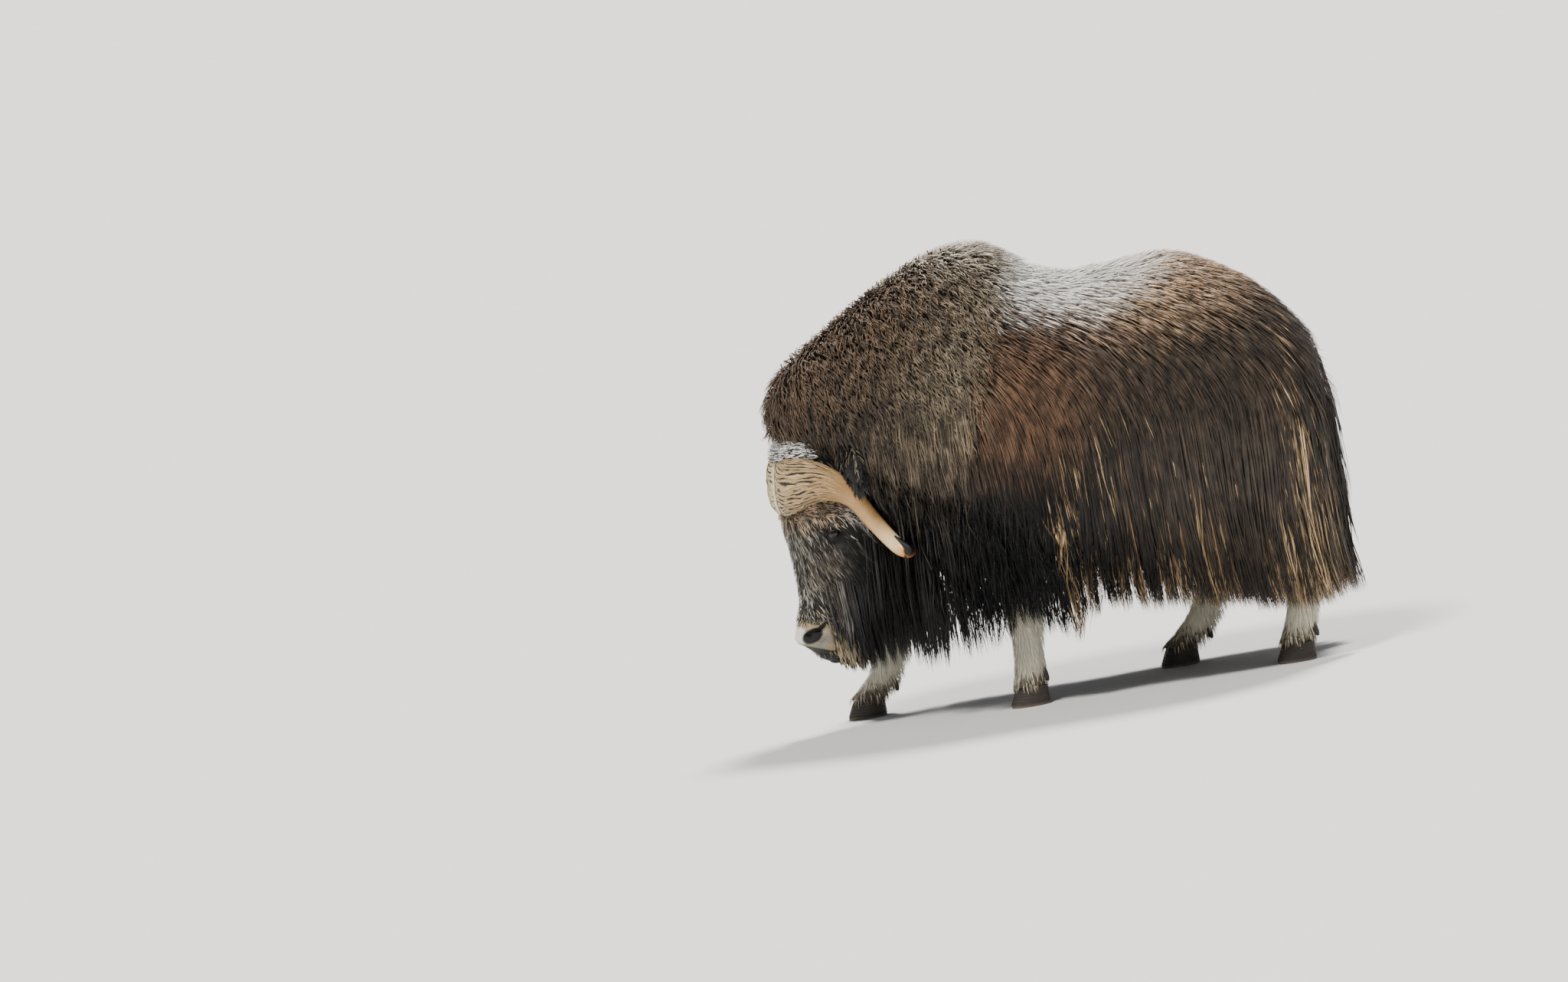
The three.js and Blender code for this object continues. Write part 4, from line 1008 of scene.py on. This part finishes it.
def clear_of_face(hair, from_ring, margin=0.004):
    """Which locks keep out of the face from a ring on, and don't cover horns and ears in the side view."""
    flat = hair.paths[:, from_ring:].reshape(-1, 3)
    hidden = (head.height(flat) < margin) & (body_to_head(flat)[:, 2] < FACE_TOP)
    path = curve_through(HORN_STATIONS, np.linspace(0, 1, 60))
    leaf = EAR_TIP - EAR_ROOT
    for side in (-1, 1):
        line = head_to_body(path[:, :3] * (1, -side, 1))
        far = np.linalg.norm(flat[:, None, ::2] - line[None, :, ::2], axis=-1) - path[:, 6]
        outside = (flat[:, None, 1] - line[None, :, 1]) * side > -path[:, 7] - 0.012
        hidden |= ((far < HORN_MARGIN) & outside).any(1)
        own = body_to_head(flat) * (1, side, 1) - EAR_ROOT
        off = own - np.clip(own @ leaf / EAR_LENGTH_SQUARED, 0.25, 1)[:, None] * leaf
        hidden |= (np.hypot(off[:, 0], off[:, 2]) < EAR_MARGIN) & (off[:, 1] > -0.03)
    return ~hidden.reshape(hair.count, -1).any(1)


def behind_mane_edge(points):
    """How far behind the slanting edge of the mane points are."""
    return points[..., 0] - MANE_EDGE - MANE_LEAN * (np.maximum(points[..., 2], 0.54) - 0.85)


def one_side(side, low, high):
    """Turns from low to high on the right, or the same on the left."""
    return (low, high) if side > 0 else (1 - high, 1 - low)


def both_sides(grow, seed):
    """Grows the left side's hair from one seed and the right side's from the next."""
    grow(-1, seed)
    grow(1, seed + 1)


def mane_hair(side, seed):
    """Neck and hump of one side, from the crest down to the throat's long hair."""
    def in_mane(p):
        return (behind_mane_edge(p) < 0.012) * (p[..., 2] > 0.56)

    hair = Hair(trunk, 10400, seed, one_side(side, -0.02, 0.46), (0.02, 0.52), in_mane)
    low = smooth(-hair.roots[:, 2], -0.95, -0.66)
    way = hair.way(0.55 - 0.48 * low, side * (0.12 - 0.1 * low)) + hair.scattered(0.42 - 0.30 * low)
    length = hair.between(0.045, 0.080) * (1 + 0.5 * low)
    hair.comb(way, length, hair.between(0.014, 0.044) * (1 - 0.4 * low), rings=4)
    hair.gather(size=0.014, pull=0.30, axes=(0, 2))
    hair.wave(size=(0.002, 0.006), turns=(0.6, 1.0))
    hair.keep(clear_of_face(hair, from_ring=1))
    hair.keep_supple(least=0.7)
    hair.blades(f"mane_{SIDE_NAMES[side]}", (0.004, 0.0065), "mane_hair")


def neck_curtain(side, seed):
    """Longer wool that hangs straight from the side of the neck, behind ear and horn."""
    def in_band(p):
        return (behind_mane_edge(p) < -0.01) * (p[..., 2] > 0.70) * (p[..., 2] < 1.02)

    hair = Hair(trunk, 1300, seed, one_side(side, 0.14, 0.46), (0.02, 0.52), in_band)
    way = hair.way(hair.between(-0.02, 0.12), 0.0)
    length = np.minimum(hair.between(0.14, 0.24), hair.roots[:, 2] - 0.56)
    hair.comb(way, length, hair.between(0.022, 0.050), rings=8)
    hair.gather(size=0.026, pull=0.55, axes=(0, 1))
    hair.wave(size=(0.002, 0.006), turns=(1.0, 2.0), curl=0.3)
    hair.keep(clear_of_face(hair, from_ring=1))
    hair.keep_supple(least=0.82)
    hair.blades(f"curtain_{SIDE_NAMES[side]}", (0.004, 0.007), "mane_hair")


both_sides(mane_hair, 11)
both_sides(neck_curtain, 13)

# The back and flanks: short soft wool on the saddle that lengthens down the sides into straight guard
# hair, rooted in the skin, lying back along the spine and falling down the barrel.


def under_skirt(points):
    """1 where the skirt's long hair covers the flank, behind the shoulder."""
    return smooth(points[..., 0], 0.20, 0.40) * smooth(-points[..., 2], -1.00, -0.86)


def flank_hair(side, seed):
    """Hair from the crest down to the roots of the skirt, longer the lower it grows."""
    def in_flank(p):
        return (behind_mane_edge(p) > -0.006) * (p[..., 2] > 0.62) * (1 - 0.75 * under_skirt(p))

    hair = Hair(trunk, 8600, seed, one_side(side, -0.02, 0.42), (0.2, 1), in_flank)
    drop = smooth(-hair.roots[:, 2], -1.22, -0.80)
    way = hair.way(0.9 - 0.85 * drop, side * (0.25 - 0.2 * drop), -1 + 0.35 * (1 - drop))
    way += hair.scattered(0.22 - 0.14 * drop)
    length = hair.between(0.055, 0.080) + 0.13 * drop * hair.between(0.8, 1.2)
    hair.comb(way, length, hair.between(0.010, 0.032) + 0.008 * drop, rings=4)
    hair.gather(size=0.016, pull=0.30, axes=(0, 2))
    hair.wave(size=(0.001, 0.003), turns=(0.6, 1.1))
    hair.keep_supple(least=0.8)
    hair.blades(f"flank_{SIDE_NAMES[side]}", (0.004, 0.007), "long_coat")


both_sides(flank_hair, 21)

# The skirt: guard hair up to half a metre long that hangs in loose strands from the lower flank nearly
# to the floor, wavy, with dark gaps, its ends swung to the rear.
SKIRT_BOTTOM, SKIRT_TOP, SKIRT_FRONT = 0.52, 0.86, -0.16
# Place along the body and height of the hem
HEM = [
    (-0.340, 0.110),
    (-0.180, 0.115),
    (-0.070, 0.130),
    (0.040, 0.225),
    (0.120, 0.165),
    (0.180, 0.150),
    (0.260, 0.235),
    (0.400, 0.215),
    (0.560, 0.205),
    (0.700, 0.185),
    (0.840, 0.150),
    (1.000, 0.170),
]


def hem_height(x):
    """Height of the hem at a place along the body."""
    stations = np.array(HEM)
    return np.interp(x, stations[:, 0], stations[:, 1])


def skirt_hair(side, seed):
    """Long hair of one side, from the shoulder to the rump."""
    def in_band(p):
        top = SKIRT_TOP + 0.20 * smooth(p[..., 0], 0.15, 0.45)
        return (p[..., 2] > SKIRT_BOTTOM) * (p[..., 2] < top) * (p[..., 0] > SKIRT_FRONT)

    hair = Hair(trunk, 4250, seed, one_side(side, 0.14, 0.40), (0.25, 1), in_band)
    length = (hair.roots[:, 2] - hem_height(hair.roots[:, 0])) * hair.between(0.84, 1.14)
    way = hair.way(hair.between(-0.08, -0.01), 0.0)
    hair.comb(way, length, hair.between(0.014, 0.048), rings=8)
    hair.gather(size=0.042, pull=0.85, axes=(0,))
    hair.wave(size=(0.004, 0.012), turns=(1.2, 2.2), curl=0.3)
    hair.bend(hair.way(smooth(hair.roots[:, 0], 0.2, 0.6) * hair.between(0.02, 0.07), 0.0, 0.0))
    hair.keep_supple(least=0.85)
    hair.blades(f"skirt_{SIDE_NAMES[side]}", (0.005, 0.009), "long_coat")


both_sides(skirt_hair, 31)

# The rump's long guard hair grows from the skin of the hind end, falls straight over it and hides the
# tail, whose own stub is covered in short hair.
RUMP_HEM = 0.205


def rump_hair():
    """Hair of the hind end, thin at its upper roots, so that it goes over into the flank's."""
    def on_hind_end(p):
        thinned = (p[..., 2] > 0.50) * smooth(-p[..., 2], -1.05, -0.82)
        return smooth(p[..., 0], 0.78, 0.92) * thinned

    hair = Hair(trunk, 2600, 41, (0, 1), (0.8, 1), on_hind_end)
    low = smooth(-hair.roots[:, 2] + hair.between(-0.06, 0.02), -1.05, -0.80)
    way = hair.way(0.15 * (1 - low), 0.12 * np.sign(hair.roots[:, 1]) * (1 - low)) + hair.scattered(0.06)
    full = (hair.roots[:, 2] - RUMP_HEM) * hair.between(0.6, 1.02)
    length = full * low + hair.between(0.10, 0.16) * (1 - low)
    hair.comb(way, length, 0.003 + hair.between(0.002, 0.022) * low, rings=8)
    hair.gather(size=0.034, pull=0.35, axes=(0, 1))
    hair.wave(size=(0.004, 0.009), turns=(1.0, 2.0), curl=0.3)
    hair.keep_supple(least=0.88)
    hair.blades("rump_hair", (0.006, 0.010), "long_coat")


def tail_hair():
    """Short hair that hangs from the tail's stub."""
    hair = Hair(tail, 200, 42)
    way = hair.way(0.1, 0.1 * np.sign(hair.roots[:, 1]))
    hair.comb(way, hair.between(0.08, 0.16), hair.between(0.003, 0.008), rings=5, sunk=0.004)
    hair.gather(size=0.03, pull=0.3)
    hair.wave(size=(0.002, 0.005), turns=(0.8, 1.4))
    hair.blades("tail_hair", (0.007, 0.010), "long_coat")


rump_hair()
tail_hair()

# Throat and chest: a bib of long near-black guard hair, rooted in the skin from the lower neck to
# between the forelegs, that hangs straight down to just above the floor.
THROAT_HEM = 0.095


def throat_hair():
    """Long hair of the lower neck and chest."""
    def low_front(p):
        return (p[..., 2] < 0.80) * (p[..., 0] < -0.06) * (np.abs(p[..., 1]) < 0.30)

    hair = Hair(trunk, 2500, 51, (0.16, 0.84), (0.02, 0.45), low_front)
    way = hair.way(hair.between(-0.12, 0.0), 0.0)
    length = (hair.roots[:, 2] - THROAT_HEM) * hair.between(0.65, 1.0)
    hair.comb(way, length, hair.between(0.012, 0.030), rings=8)
    hair.gather(size=0.036, pull=0.5, axes=(0, 1))
    hair.wave(size=(0.004, 0.009), turns=(1.0, 2.0), curl=0.3)
    hair.keep(clear_of_face(hair, from_ring=2))
    hair.keep_supple(least=0.88)
    hair.blades("throat_hair", (0.006, 0.010), "mane_hair")


throat_hair()

# The face is covered in close hair that grows from thin skin, lies down and back, and leaves eyes, lips
# and nostrils bare. A pale crescent stands over the eye, a white tuft over the horns, and a glossy black
# beard hangs from the jaw.


def clear_of_eyes_and_muzzle(points, eye_margin=0.027):
    """Which points are away from the eyes, and from the bare skin round the nostrils and mouth."""
    own = folded_head(points)
    eye = np.linalg.norm(own - EYE_PLACE, axis=-1) > eye_margin
    bare = np.hypot((own[..., 0] + 0.606) / 0.062, (own[..., 2] - 0.285) / 0.045) < 1
    nose = ~(bare & (own[..., 2] > 0.262 - (own[..., 0] + 0.634) * 0.36))
    return eye & nose


def face_hair():
    """Close hair over the whole face, shortest towards the muzzle, with the lie down and back."""
    hair = Hair(head, 9400, 61, (0, 1), (0.10, 0.93), clear_of_eyes_and_muzzle)
    own = folded_head(hair.roots)
    cheek = smooth(own[:, 0], -0.57, -0.44)
    near_mouth = np.hypot((own[:, 0] + 0.595) / 0.130, (own[:, 2] - 0.232) / 0.108)
    short = 1 - 0.62 * smooth(-near_mouth, -1.45, -1.0)
    around = smooth(0.075 - np.linalg.norm(own - EYE_PLACE, axis=-1), 0, 0.03)
    way = hair.way(0.50 + 0.1 * cheek, 0.0) + hair.scattered(0.26)
    length = (hair.between(0.030, 0.052) + 0.035 * cheek * hair.between(0.7, 1.2)) * short
    length = length * (1 - 0.5 * around)
    lift = hair.between(0.004, 0.013) * (1 + 0.6 * cheek) * short
    hair.comb(turned(way), length, lift, rings=4, sunk=0.004)
    hair.gather(size=0.012, pull=0.45)
    hair.wave(size=(0.0008, 0.003), turns=(0.5, 1.0))
    hair.keep(clear_of_eyes_and_muzzle(hair.paths[:, -1], 0.023))
    hair.blades("face_hair", (0.0024, 0.0044), "face_hair", owner=HEAD)


def brow_hair():
    """The pale crescent of longer fur under the horn's lower edge."""
    def in_arc(p):
        own = folded_head(p)
        arc = BROW_HEIGHT - BROW_CURVE * (own[..., 0] - BROW_MIDDLE) ** 2
        return (np.abs(own[..., 2] - arc) < 0.020) * (own[..., 0] < -0.395)

    hair = Hair(head, 1700, 64, (0, 1), (0.15, 0.5), in_arc)
    way = hair.way(0.7, 0.3 * np.sign(body_to_head(hair.roots)[:, 1]), -0.25) + hair.scattered(0.3)
    hair.comb(turned(way), hair.between(0.024, 0.038), hair.between(0.010, 0.020), rings=4, sunk=0.004)
    hair.gather(size=0.012, pull=0.3)
    hair.wave(size=(0.0005, 0.002), turns=(0.5, 1.0))
    hair.blades("brow_hair", (0.0024, 0.0042), "face_hair", owner=HEAD)


def beard():
    """Long hair that hangs from jaw and cheek down to a hem that falls towards the rear."""
    def on_jaw(p):
        own = folded_head(p)
        return smooth(own[..., 0], -0.56, -0.47) * (own[..., 2] < 0.56)

    hair = Hair(head, 2100, 62, (0.1, 0.9), (0.45, 0.97), on_jaw)
    own = folded_head(hair.roots)
    hem = np.interp(own[:, 0], [-0.56, -0.50, -0.45, -0.33], [0.200, 0.155, 0.130, 0.110])
    length = np.maximum(own[:, 2] - hem, 0.05) * hair.between(0.55, 1.0)
    hair.comb(turned(hair.way(0.05, 0.0)), length, hair.between(0.006, 0.020), rings=7, sunk=0.006)
    hair.gather(size=0.030, pull=0.5, axes=(0, 1))
    hair.wave(size=(0.003, 0.007), turns=(0.8, 1.6), curl=0.3)
    hair.keep_supple(least=0.8)
    hair.blades("beard", (0.005, 0.008), "face_hair", owner=HEAD)


def crown_hair():
    """The white tuft between the horns' upper edge and the mane."""
    def on_crown(p):
        own = folded_head(p)
        return (own[..., 0] < -0.50) * (own[..., 2] > 0.830)

    hair = Hair(head, 1000, 63, (0, 1), (0, 0.3), on_crown)
    way = turned(hair.way(-0.9, 0.0, 0.1) + hair.scattered(0.4))
    hair.comb(way, hair.between(0.028, 0.046), hair.between(0.010, 0.026), rings=5, sunk=0.004)
    hair.gather(size=0.02, pull=0.3)
    hair.wave(size=(0.001, 0.003), turns=(0.8, 1.4))
    hair.blades("crown_hair", (0.005, 0.007), "face_hair", owner=HEAD)


face_hair()
brow_hair()
beard()
crown_hair()

# Ears and legs: long hair rooted along the ears fringes them, and close pale hair covers the legs down
# to the hooves, longer the higher it grows.


def ear_hair(name, seed):
    """A fringe that hangs from the whole ear."""
    hair = Hair(ears[name], 700, seed, (0, 1), (0.05, 1))
    way = hair.way(0.15, 0.0) + hair.scattered(0.3)
    hair.comb(way, hair.between(0.03, 0.065), hair.between(0.004, 0.016), rings=5, sunk=0.003)
    hair.gather(size=0.02, pull=0.3)
    hair.wave(size=(0.001, 0.003), turns=(0.6, 1.2))
    hair.blades(f"ear_hair_{name}", (0.004, 0.007), "face_hair", owner=FIRST_EAR)


def leg_hair(name, seed):
    """Short at the hoof, up to a hand's length at the top of the leg."""
    hair = Hair(legs[name], 1700, seed, (0, 1), (0.28, 0.985))
    high = smooth(hair.roots[:, 2], 0.10, 0.42)
    lift = hair.between(0.001, 0.005) + 0.012 * high
    way = hair.way(0.06 + 0.1 * high, 0.0) + hair.scattered(0.10)
    hair.comb(way, hair.between(0.024, 0.044) + 0.05 * high, lift, rings=4, sunk=0.004)
    hair.gather(size=0.014, pull=0.25)
    hair.wave(size=(0.0005, 0.002), turns=(0.5, 1.0))
    hair.keep(hair.paths[:, -1, 2] > 0.030)
    hair.blades(f"leg_hair_{name}", (0.0028, 0.0050), "leg_hair", owner=FIRST_LEG)


for seed, name in enumerate(ears):
    ear_hair(name, 71 + seed)
for seed, name in enumerate(legs):
    leg_hair(name, 81 + seed)

# The horns: a broad boss of rough horn on each side of a furrow, fibrous and cream at the brow, then a
# smooth honey-coloured shaft that hooks out and up to a black point.
HALF_FURROW = 0.0165
# Number in a turn, phase and depth of the fibres of the boss
FIBRES = ((41, 0.0, 0.0014), (67, 0.4, 0.0009), (17, 0.2, 0.0014))
HORN_COLOURS = [
    (0.00, tint(92, 72, 50)),
    (0.022, tint(120, 96, 68)),
    (0.036, tint(222, 206, 172)),
    (0.075, tint(214, 192, 152)),
    (0.12, tint(196, 166, 120)),
    (0.30, tint(188, 152, 102)),
    (0.42, tint(190, 148, 94)),
    (0.52, tint(206, 162, 104)),
    (0.62, tint(228, 184, 126)),
    (0.71, tint(250, 220, 168)),
    (0.79, tint(232, 170, 102)),
    (0.845, tint(150, 88, 42)),
    (0.87, tint(20, 16, 14)),
    (1.00, tint(9, 8, 8)),
]


def horn_grid(side, columns=96, rows=240):
    """Rings along the horn's stations; on the boss, ridges run along the fibres."""
    turn = even_turns(columns)
    share = crowded(rows, (0.0, 0.04, 2.0), (1.0, 0.05, 2.0))[:, None]
    row = curve_through(HORN_STATIONS, share)
    flip = np.array([1, -side, 1])
    slope = curve_through(HORN_STATIONS, share + 0.004) - curve_through(HORN_STATIONS, share - 0.004)
    tangent = unit(slope[..., 0:3] * flip)
    flat = unit(np.cross(tangent, unit(row[..., 3:6] * flip)))
    thick = unit(np.cross(tangent, flat))
    high, wide = rounded(turn, 2.6 - 0.6 * smooth(share, 0, 0.5))
    boss = (1 - smooth(share, 0.24, 0.46)) * smooth(share, 0.025, 0.070)
    fibre = turn + 0.012 * np.sin(23 * share) + 0.02 * np.sin(9 * share + 2)
    fibre = fibre + 0.003 * np.sin(61 * share + 40 * turn)
    depth = sum(np.abs(np.sin(np.pi * (number * fibre + phase))) * size for number, phase, size in FIBRES)
    furrows = boss * (0.0014 - depth)
    grid = row[..., 0:3] * flip + flat * (high * (row[..., 6] + furrows))[..., None]
    grid = grid + thick * (wide * (row[..., 7] + furrows))[..., None]
    beside = grid[..., 1] * side
    kept_off = 0.0045 + 0.012 * np.exp((beside - HALF_FURROW) / 0.012)
    grid[..., 1] = side * np.where(beside < HALF_FURROW, kept_off, beside)
    return head_to_body(grid), np.stack(np.broadcast_arrays(share, turn, fibre), -1)


def horn_finish():
    """Colour along the horn from cream boss to black tip; dark cracks and fibres on the boss."""
    finish = Finish("horn_keratin", Specular_IOR_Level=0.5)
    share, _, fibre = finish.split(finish.attribute("horn_place", 1))
    uneven = finish.noise(finish.drawn_place(), 28.0, 3.0)
    moved = share + (uneven - 0.5) * 0.03
    base = finish.node("ShaderNodeValToRGB", {"stops": HORN_COLOURS}, {0: moved})
    rough = share.fall(0.28, 0.50) * share.rise(0.040, 0.060)
    streaks = finish.noise(finish.join(share * 16.0, fibre * 130.0, 0.0), 1.0, 4.0, 0.6)
    wavy = finish.noise(finish.join(share * 12.0, fibre * 14.0, 0.0), 1.0, 3.0) * 2.6
    beside = abs((fibre * 36.0 + wavy).fraction() - 0.5) * 2.0
    broken = finish.noise(finish.join(share * 20.0, fibre * 44.0, 5.0), 1.0, 2.0).rise(0.34, 0.56)
    fine = abs((fibre * 91.0 + wavy * 2.2).fraction() - 0.5) * 2.0
    cracks = (beside.fall(0.18, 0.62) * broken).highest(fine.fall(0.10, 0.60) * 0.5) * rough
    mottled = share.rise(0.34, 0.46) * share.fall(0.58, 0.70)
    colour = finish.painted(
        base,
        (mottled * uneven * 0.7, tint(112, 74, 40)),
        (streaks.rise(0.48, 0.70) * rough * 0.75, tint(246, 228, 190)),
        (cracks, tint(26, 17, 10)),
    )
    return finish.surface_of(
        Base_Color=colour,
        Roughness=0.34 + rough * 0.34 + (uneven - 0.5) * 0.15,
        Normal=finish.bump(1.0, 0.003, streaks * rough * 0.5 - cracks + uneven * 0.1),
    )


horn_material = horn_finish()
for side, name in SIDE_NAMES.items():
    grid, own = horn_grid(side)
    own = np.concatenate([own.reshape(-1, 3), [[0, 0, 0], [1, 0, 0]]])
    horn = piece_from(f"horn_shape_{name}", *closed_surface(grid), {"horn_place": own})
    settle(horn, horn_material, "horn", f"horn_{name}")

# The eyes: dark balls with a wide, flat pupil in a deep brown iris, wet and shining between the lids,
# which hold them in the skin.


def eye_finish():
    """Pupil, iris and the dark rim of the white by the angle from the eye's axis."""
    finish = Finish("eye_wet", Roughness=0.12, Specular_IOR_Level=0.3)
    along, high, _ = finish.split(finish.attribute("eye_place", 1))
    fibres = finish.noise(finish.join(along, high, 0.0), 14.0, 3.0)
    rim = (along ** 2 + high ** 2).rise(0.62, 0.85)
    pupil = ((along / 0.55) ** 4 + (high / 0.24) ** 2).fall(0.8, 1.15)
    iris = finish.mix(fibres, tint(14, 9, 6), tint(36, 22, 12))
    colour = finish.painted(iris, (rim, tint(30, 23, 19)), (pupil, tint(4, 4, 6)))
    return finish.surface_of(Base_Color=colour, Coat_Weight=0.25, Coat_Roughness=0.04)


def eye_ball(side, columns=48, rows=36):
    """A unit ball in rings from the pupil to the back."""
    turn = even_turns(columns)
    dip = np.linspace(0.02, 0.98, rows)[:, None] * np.pi
    cosine, sine = rounded(turn)
    return np.stack(np.broadcast_arrays(np.sin(dip) * cosine, side * np.cos(dip), np.sin(dip) * sine), -1)


eye_material = eye_finish()
for side, name in SIDE_NAMES.items():
    ball = eye_ball(side)
    cornea = 1 + 0.05 * np.exp(-(((1 - ball[..., 1] * side) / 0.16) ** 2))
    grid = head_to_body(EYE_PLACE * (1, side, 1) + ball * (EYE_RADIUS * cornea)[..., None])
    own = (ball[..., [0, 2, 1]] * (1, 1, 0)).reshape(-1, 3)
    own = np.concatenate([own, np.zeros((2, 3))])
    eye = piece_from(f"eyeball_{name}", *closed_surface(grid), {"eye_place": own})
    settle(eye, eye_material, "eye", f"eye_{name}")

# The hooves: two claws of dark horn on each foot, each a half moon in plan with growth rings round its
# wall, and two small dewclaws behind the fetlock.
CLAW_LENGTH, CLAW_TOP_LENGTH, CLAW_SETBACK = 0.060, 0.046, 0.013
CLAW_HEIGHT = 0.058
CLAW_OUTER_HALF, CLAW_INNER_HALF, CLAW_APART = 0.033, 0.019, 0.023
# Side, front and rear end of each foot
TOES = {
    "fore_left": (-1, -0.042, 0.074),
    "fore_right": (1, -0.528, -0.372),
    "hind_left": (-1, 0.766, 0.893),
    "hind_right": (1, 0.430, 0.590),
}


def claw_grid(side, toe, turned_out, columns=56, rows=40):
    """Rings up the wall: length and width shrink and the middle moves back towards the coronet; the
    sole's and the coronet's edges are rounded, and rings of growth ripple the wall."""
    turn = even_turns(columns)
    up = crowded(rows, (0, 0.05, 3.0), (1, 0.05, 3.0))[:, None]
    edge = 1 - 0.05 * np.exp(-up / 0.05) - 0.06 * np.exp((up - 1) / 0.05)
    ripple = 1 + 0.010 * np.sin(2 * np.pi * 7 * up) * smooth(up, 0.05, 0.2) * smooth(1 - up, 0.05, 0.2)
    c, s = rounded(turn)
    taper = 1 - 0.3 * np.maximum(c, 0) ** 2
    width = np.where(s > 0, CLAW_OUTER_HALF, CLAW_INNER_HALF) * (1 - 0.16 * up) * taper * edge * ripple
    length = (CLAW_LENGTH + (CLAW_TOP_LENGTH - CLAW_LENGTH) * up) * edge * ripple
    x = toe + CLAW_LENGTH + CLAW_SETBACK * up - c * length
    y = side * TRACK + turned_out * (CLAW_APART + s * width)
    return np.stack([x, y, np.broadcast_to(up * CLAW_HEIGHT, x.shape)], -1)


def dewclaw_grid(side, heel, turned_out, columns=28, rows=16):
    """Rings that shrink down a short blunt stub behind the leg."""
    turn, share = even_grid(columns, rows)
    size = (0.014 - 0.006 * share) * np.sqrt(np.clip(1.02 - share**6, 0, 1))
    size = size * (1 + 0.02 * np.sin(2 * np.pi * 4 * share))
    c, s = rounded(turn)
    x = heel - 0.004 + 0.014 * share + c * size * 0.5
    y = side * TRACK + turned_out * (0.017 + 0.004 * share) + s * size * 0.9
    return np.stack([x, y, 0.098 - 0.030 * share + c * size], -1)


def hoof_finish():
    """Dark horn: growth rings up the wall, fine fibres, and wear that pales the sole's edge."""
    finish = Finish("hoof_horn", Specular_IOR_Level=0.4)
    place = finish.drawn_place()
    x, y, z = finish.split(place)
    uneven = finish.noise(place, 70.0, 3.0)
    rings = finish.noise(finish.join(x * 0.2, y * 0.2, z + uneven * 0.004), 190.0, 2.0)
    fibres = finish.noise(finish.join(x * 4.0, y * 4.0, z * 0.4), 150.0, 2.0)
    colour = finish.mix(rings * 0.6 + fibres * 0.4, tint(26, 23, 21), tint(70, 62, 54))
    worn = (z + uneven * 0.006).fall(0.004, 0.014) * 0.6
    return finish.surface_of(
        Base_Color=finish.mix(worn, colour, tint(122, 110, 92)),
        Roughness=0.42 + uneven * 0.25,
        Normal=finish.bump(0.5, 0.001, rings + fibres * 0.4),
    )


hoof_material = hoof_finish()
for name, (side, toe, heel) in TOES.items():
    for which, outward in (("outer", side), ("inner", -side)):
        claw = piece_from(f"claw_{name}_{which}", *closed_surface(claw_grid(side, toe, outward)))
        settle(claw, hoof_material, "hoof", f"hoof_{name}_{which}")
        spur = piece_from(f"spur_{name}_{which}", *closed_surface(dewclaw_grid(side, heel, outward)))
        settle(spur, hoof_material, "hoof", f"dewclaw_{name}_{which}")

# The floor is a wide pale matt sheet, the only thing that the animal stands on, under an even sky. A
# large soft lamp stands above the front left, and another behind draws the light rim along the back.
FLOOR_HALF = 150.0
SKY_COLOUR, SKY_STRENGTH = (0.80, 0.84, 0.90, 1), 0.42


def floor_finish():
    """A faint grain between two greys."""
    finish = Finish("floor_matte", Roughness=0.9)
    grain = finish.noise(finish.object_place(), 3.0, 3.0)
    return finish.surface_of(Base_Color=finish.mix(grain, (0.62, 0.62, 0.61, 1), (0.66, 0.66, 0.65, 1)))


floor_mesh = bpy.data.meshes.new("floor")
floor_corners = [(x * FLOOR_HALF, y * FLOOR_HALF, 0) for x, y in ((-1, -1), (1, -1), (1, 1), (-1, 1))]
floor_mesh.from_pydata(floor_corners, [], [(0, 1, 2, 3)])
floor = bpy.data.objects.new("floor", floor_mesh)
bpy.context.scene.collection.objects.link(floor)
floor.data.materials.append(floor_finish())

world = bpy.data.worlds.new("studio")
bpy.context.scene.world = world
world.use_nodes = True
sky = world.node_tree.nodes["Background"]
sky.inputs["Color"].default_value = SKY_COLOUR
sky.inputs["Strength"].default_value = SKY_STRENGTH


def soft_sun(name, way_to_it, spread, strength, colour):
    """A distant lamp with soft-edged shadows, given by the direction in which it stands."""
    lamp = bpy.data.lights.new(name, "SUN")
    lamp.angle = np.radians(spread)
    lamp.energy = strength
    lamp.color = colour
    holder = bpy.data.objects.new(name, lamp)
    bpy.context.scene.collection.objects.link(holder)
    holder.rotation_euler = Vector(way_to_it).to_track_quat("Z", "Y").to_euler()


soft_sun("key", way_to_it=(-0.35, -0.55, 1.15), spread=14, strength=3.8, colour=(1.0, 0.96, 0.90))
soft_sun("rim", way_to_it=(0.30, 0.50, 1.0), spread=12, strength=6.2, colour=(1.0, 0.97, 0.93))

# The camera stands far off to the animal's left with a long lens, a little above it, and is rolled so
# that the ground rises to the right as in the photograph.
VIEW_WIDTH = 4.708
LENS, FILM = 300.0, 36.0
ELEVATION, ROLL = np.radians(6.0), np.radians(9.5)
AIM = Vector((-0.606, 0, 0.738)) + shift
distance = VIEW_WIDTH * LENS / FILM
camera_data = bpy.data.cameras.new("camera")
camera_data.lens = LENS
camera_data.sensor_width = FILM
camera_data.clip_end = 1000
camera = bpy.data.objects.new("camera", camera_data)
bpy.context.scene.collection.objects.link(camera)
camera.location = AIM + Vector((0, -np.cos(ELEVATION), np.sin(ELEVATION))) * distance
facing = Matrix.Rotation(np.pi / 2 - ELEVATION, 4, "X") @ Matrix.Rotation(-ROLL, 4, "Z")
camera.rotation_euler = facing.to_euler()
bpy.context.scene.camera = camera
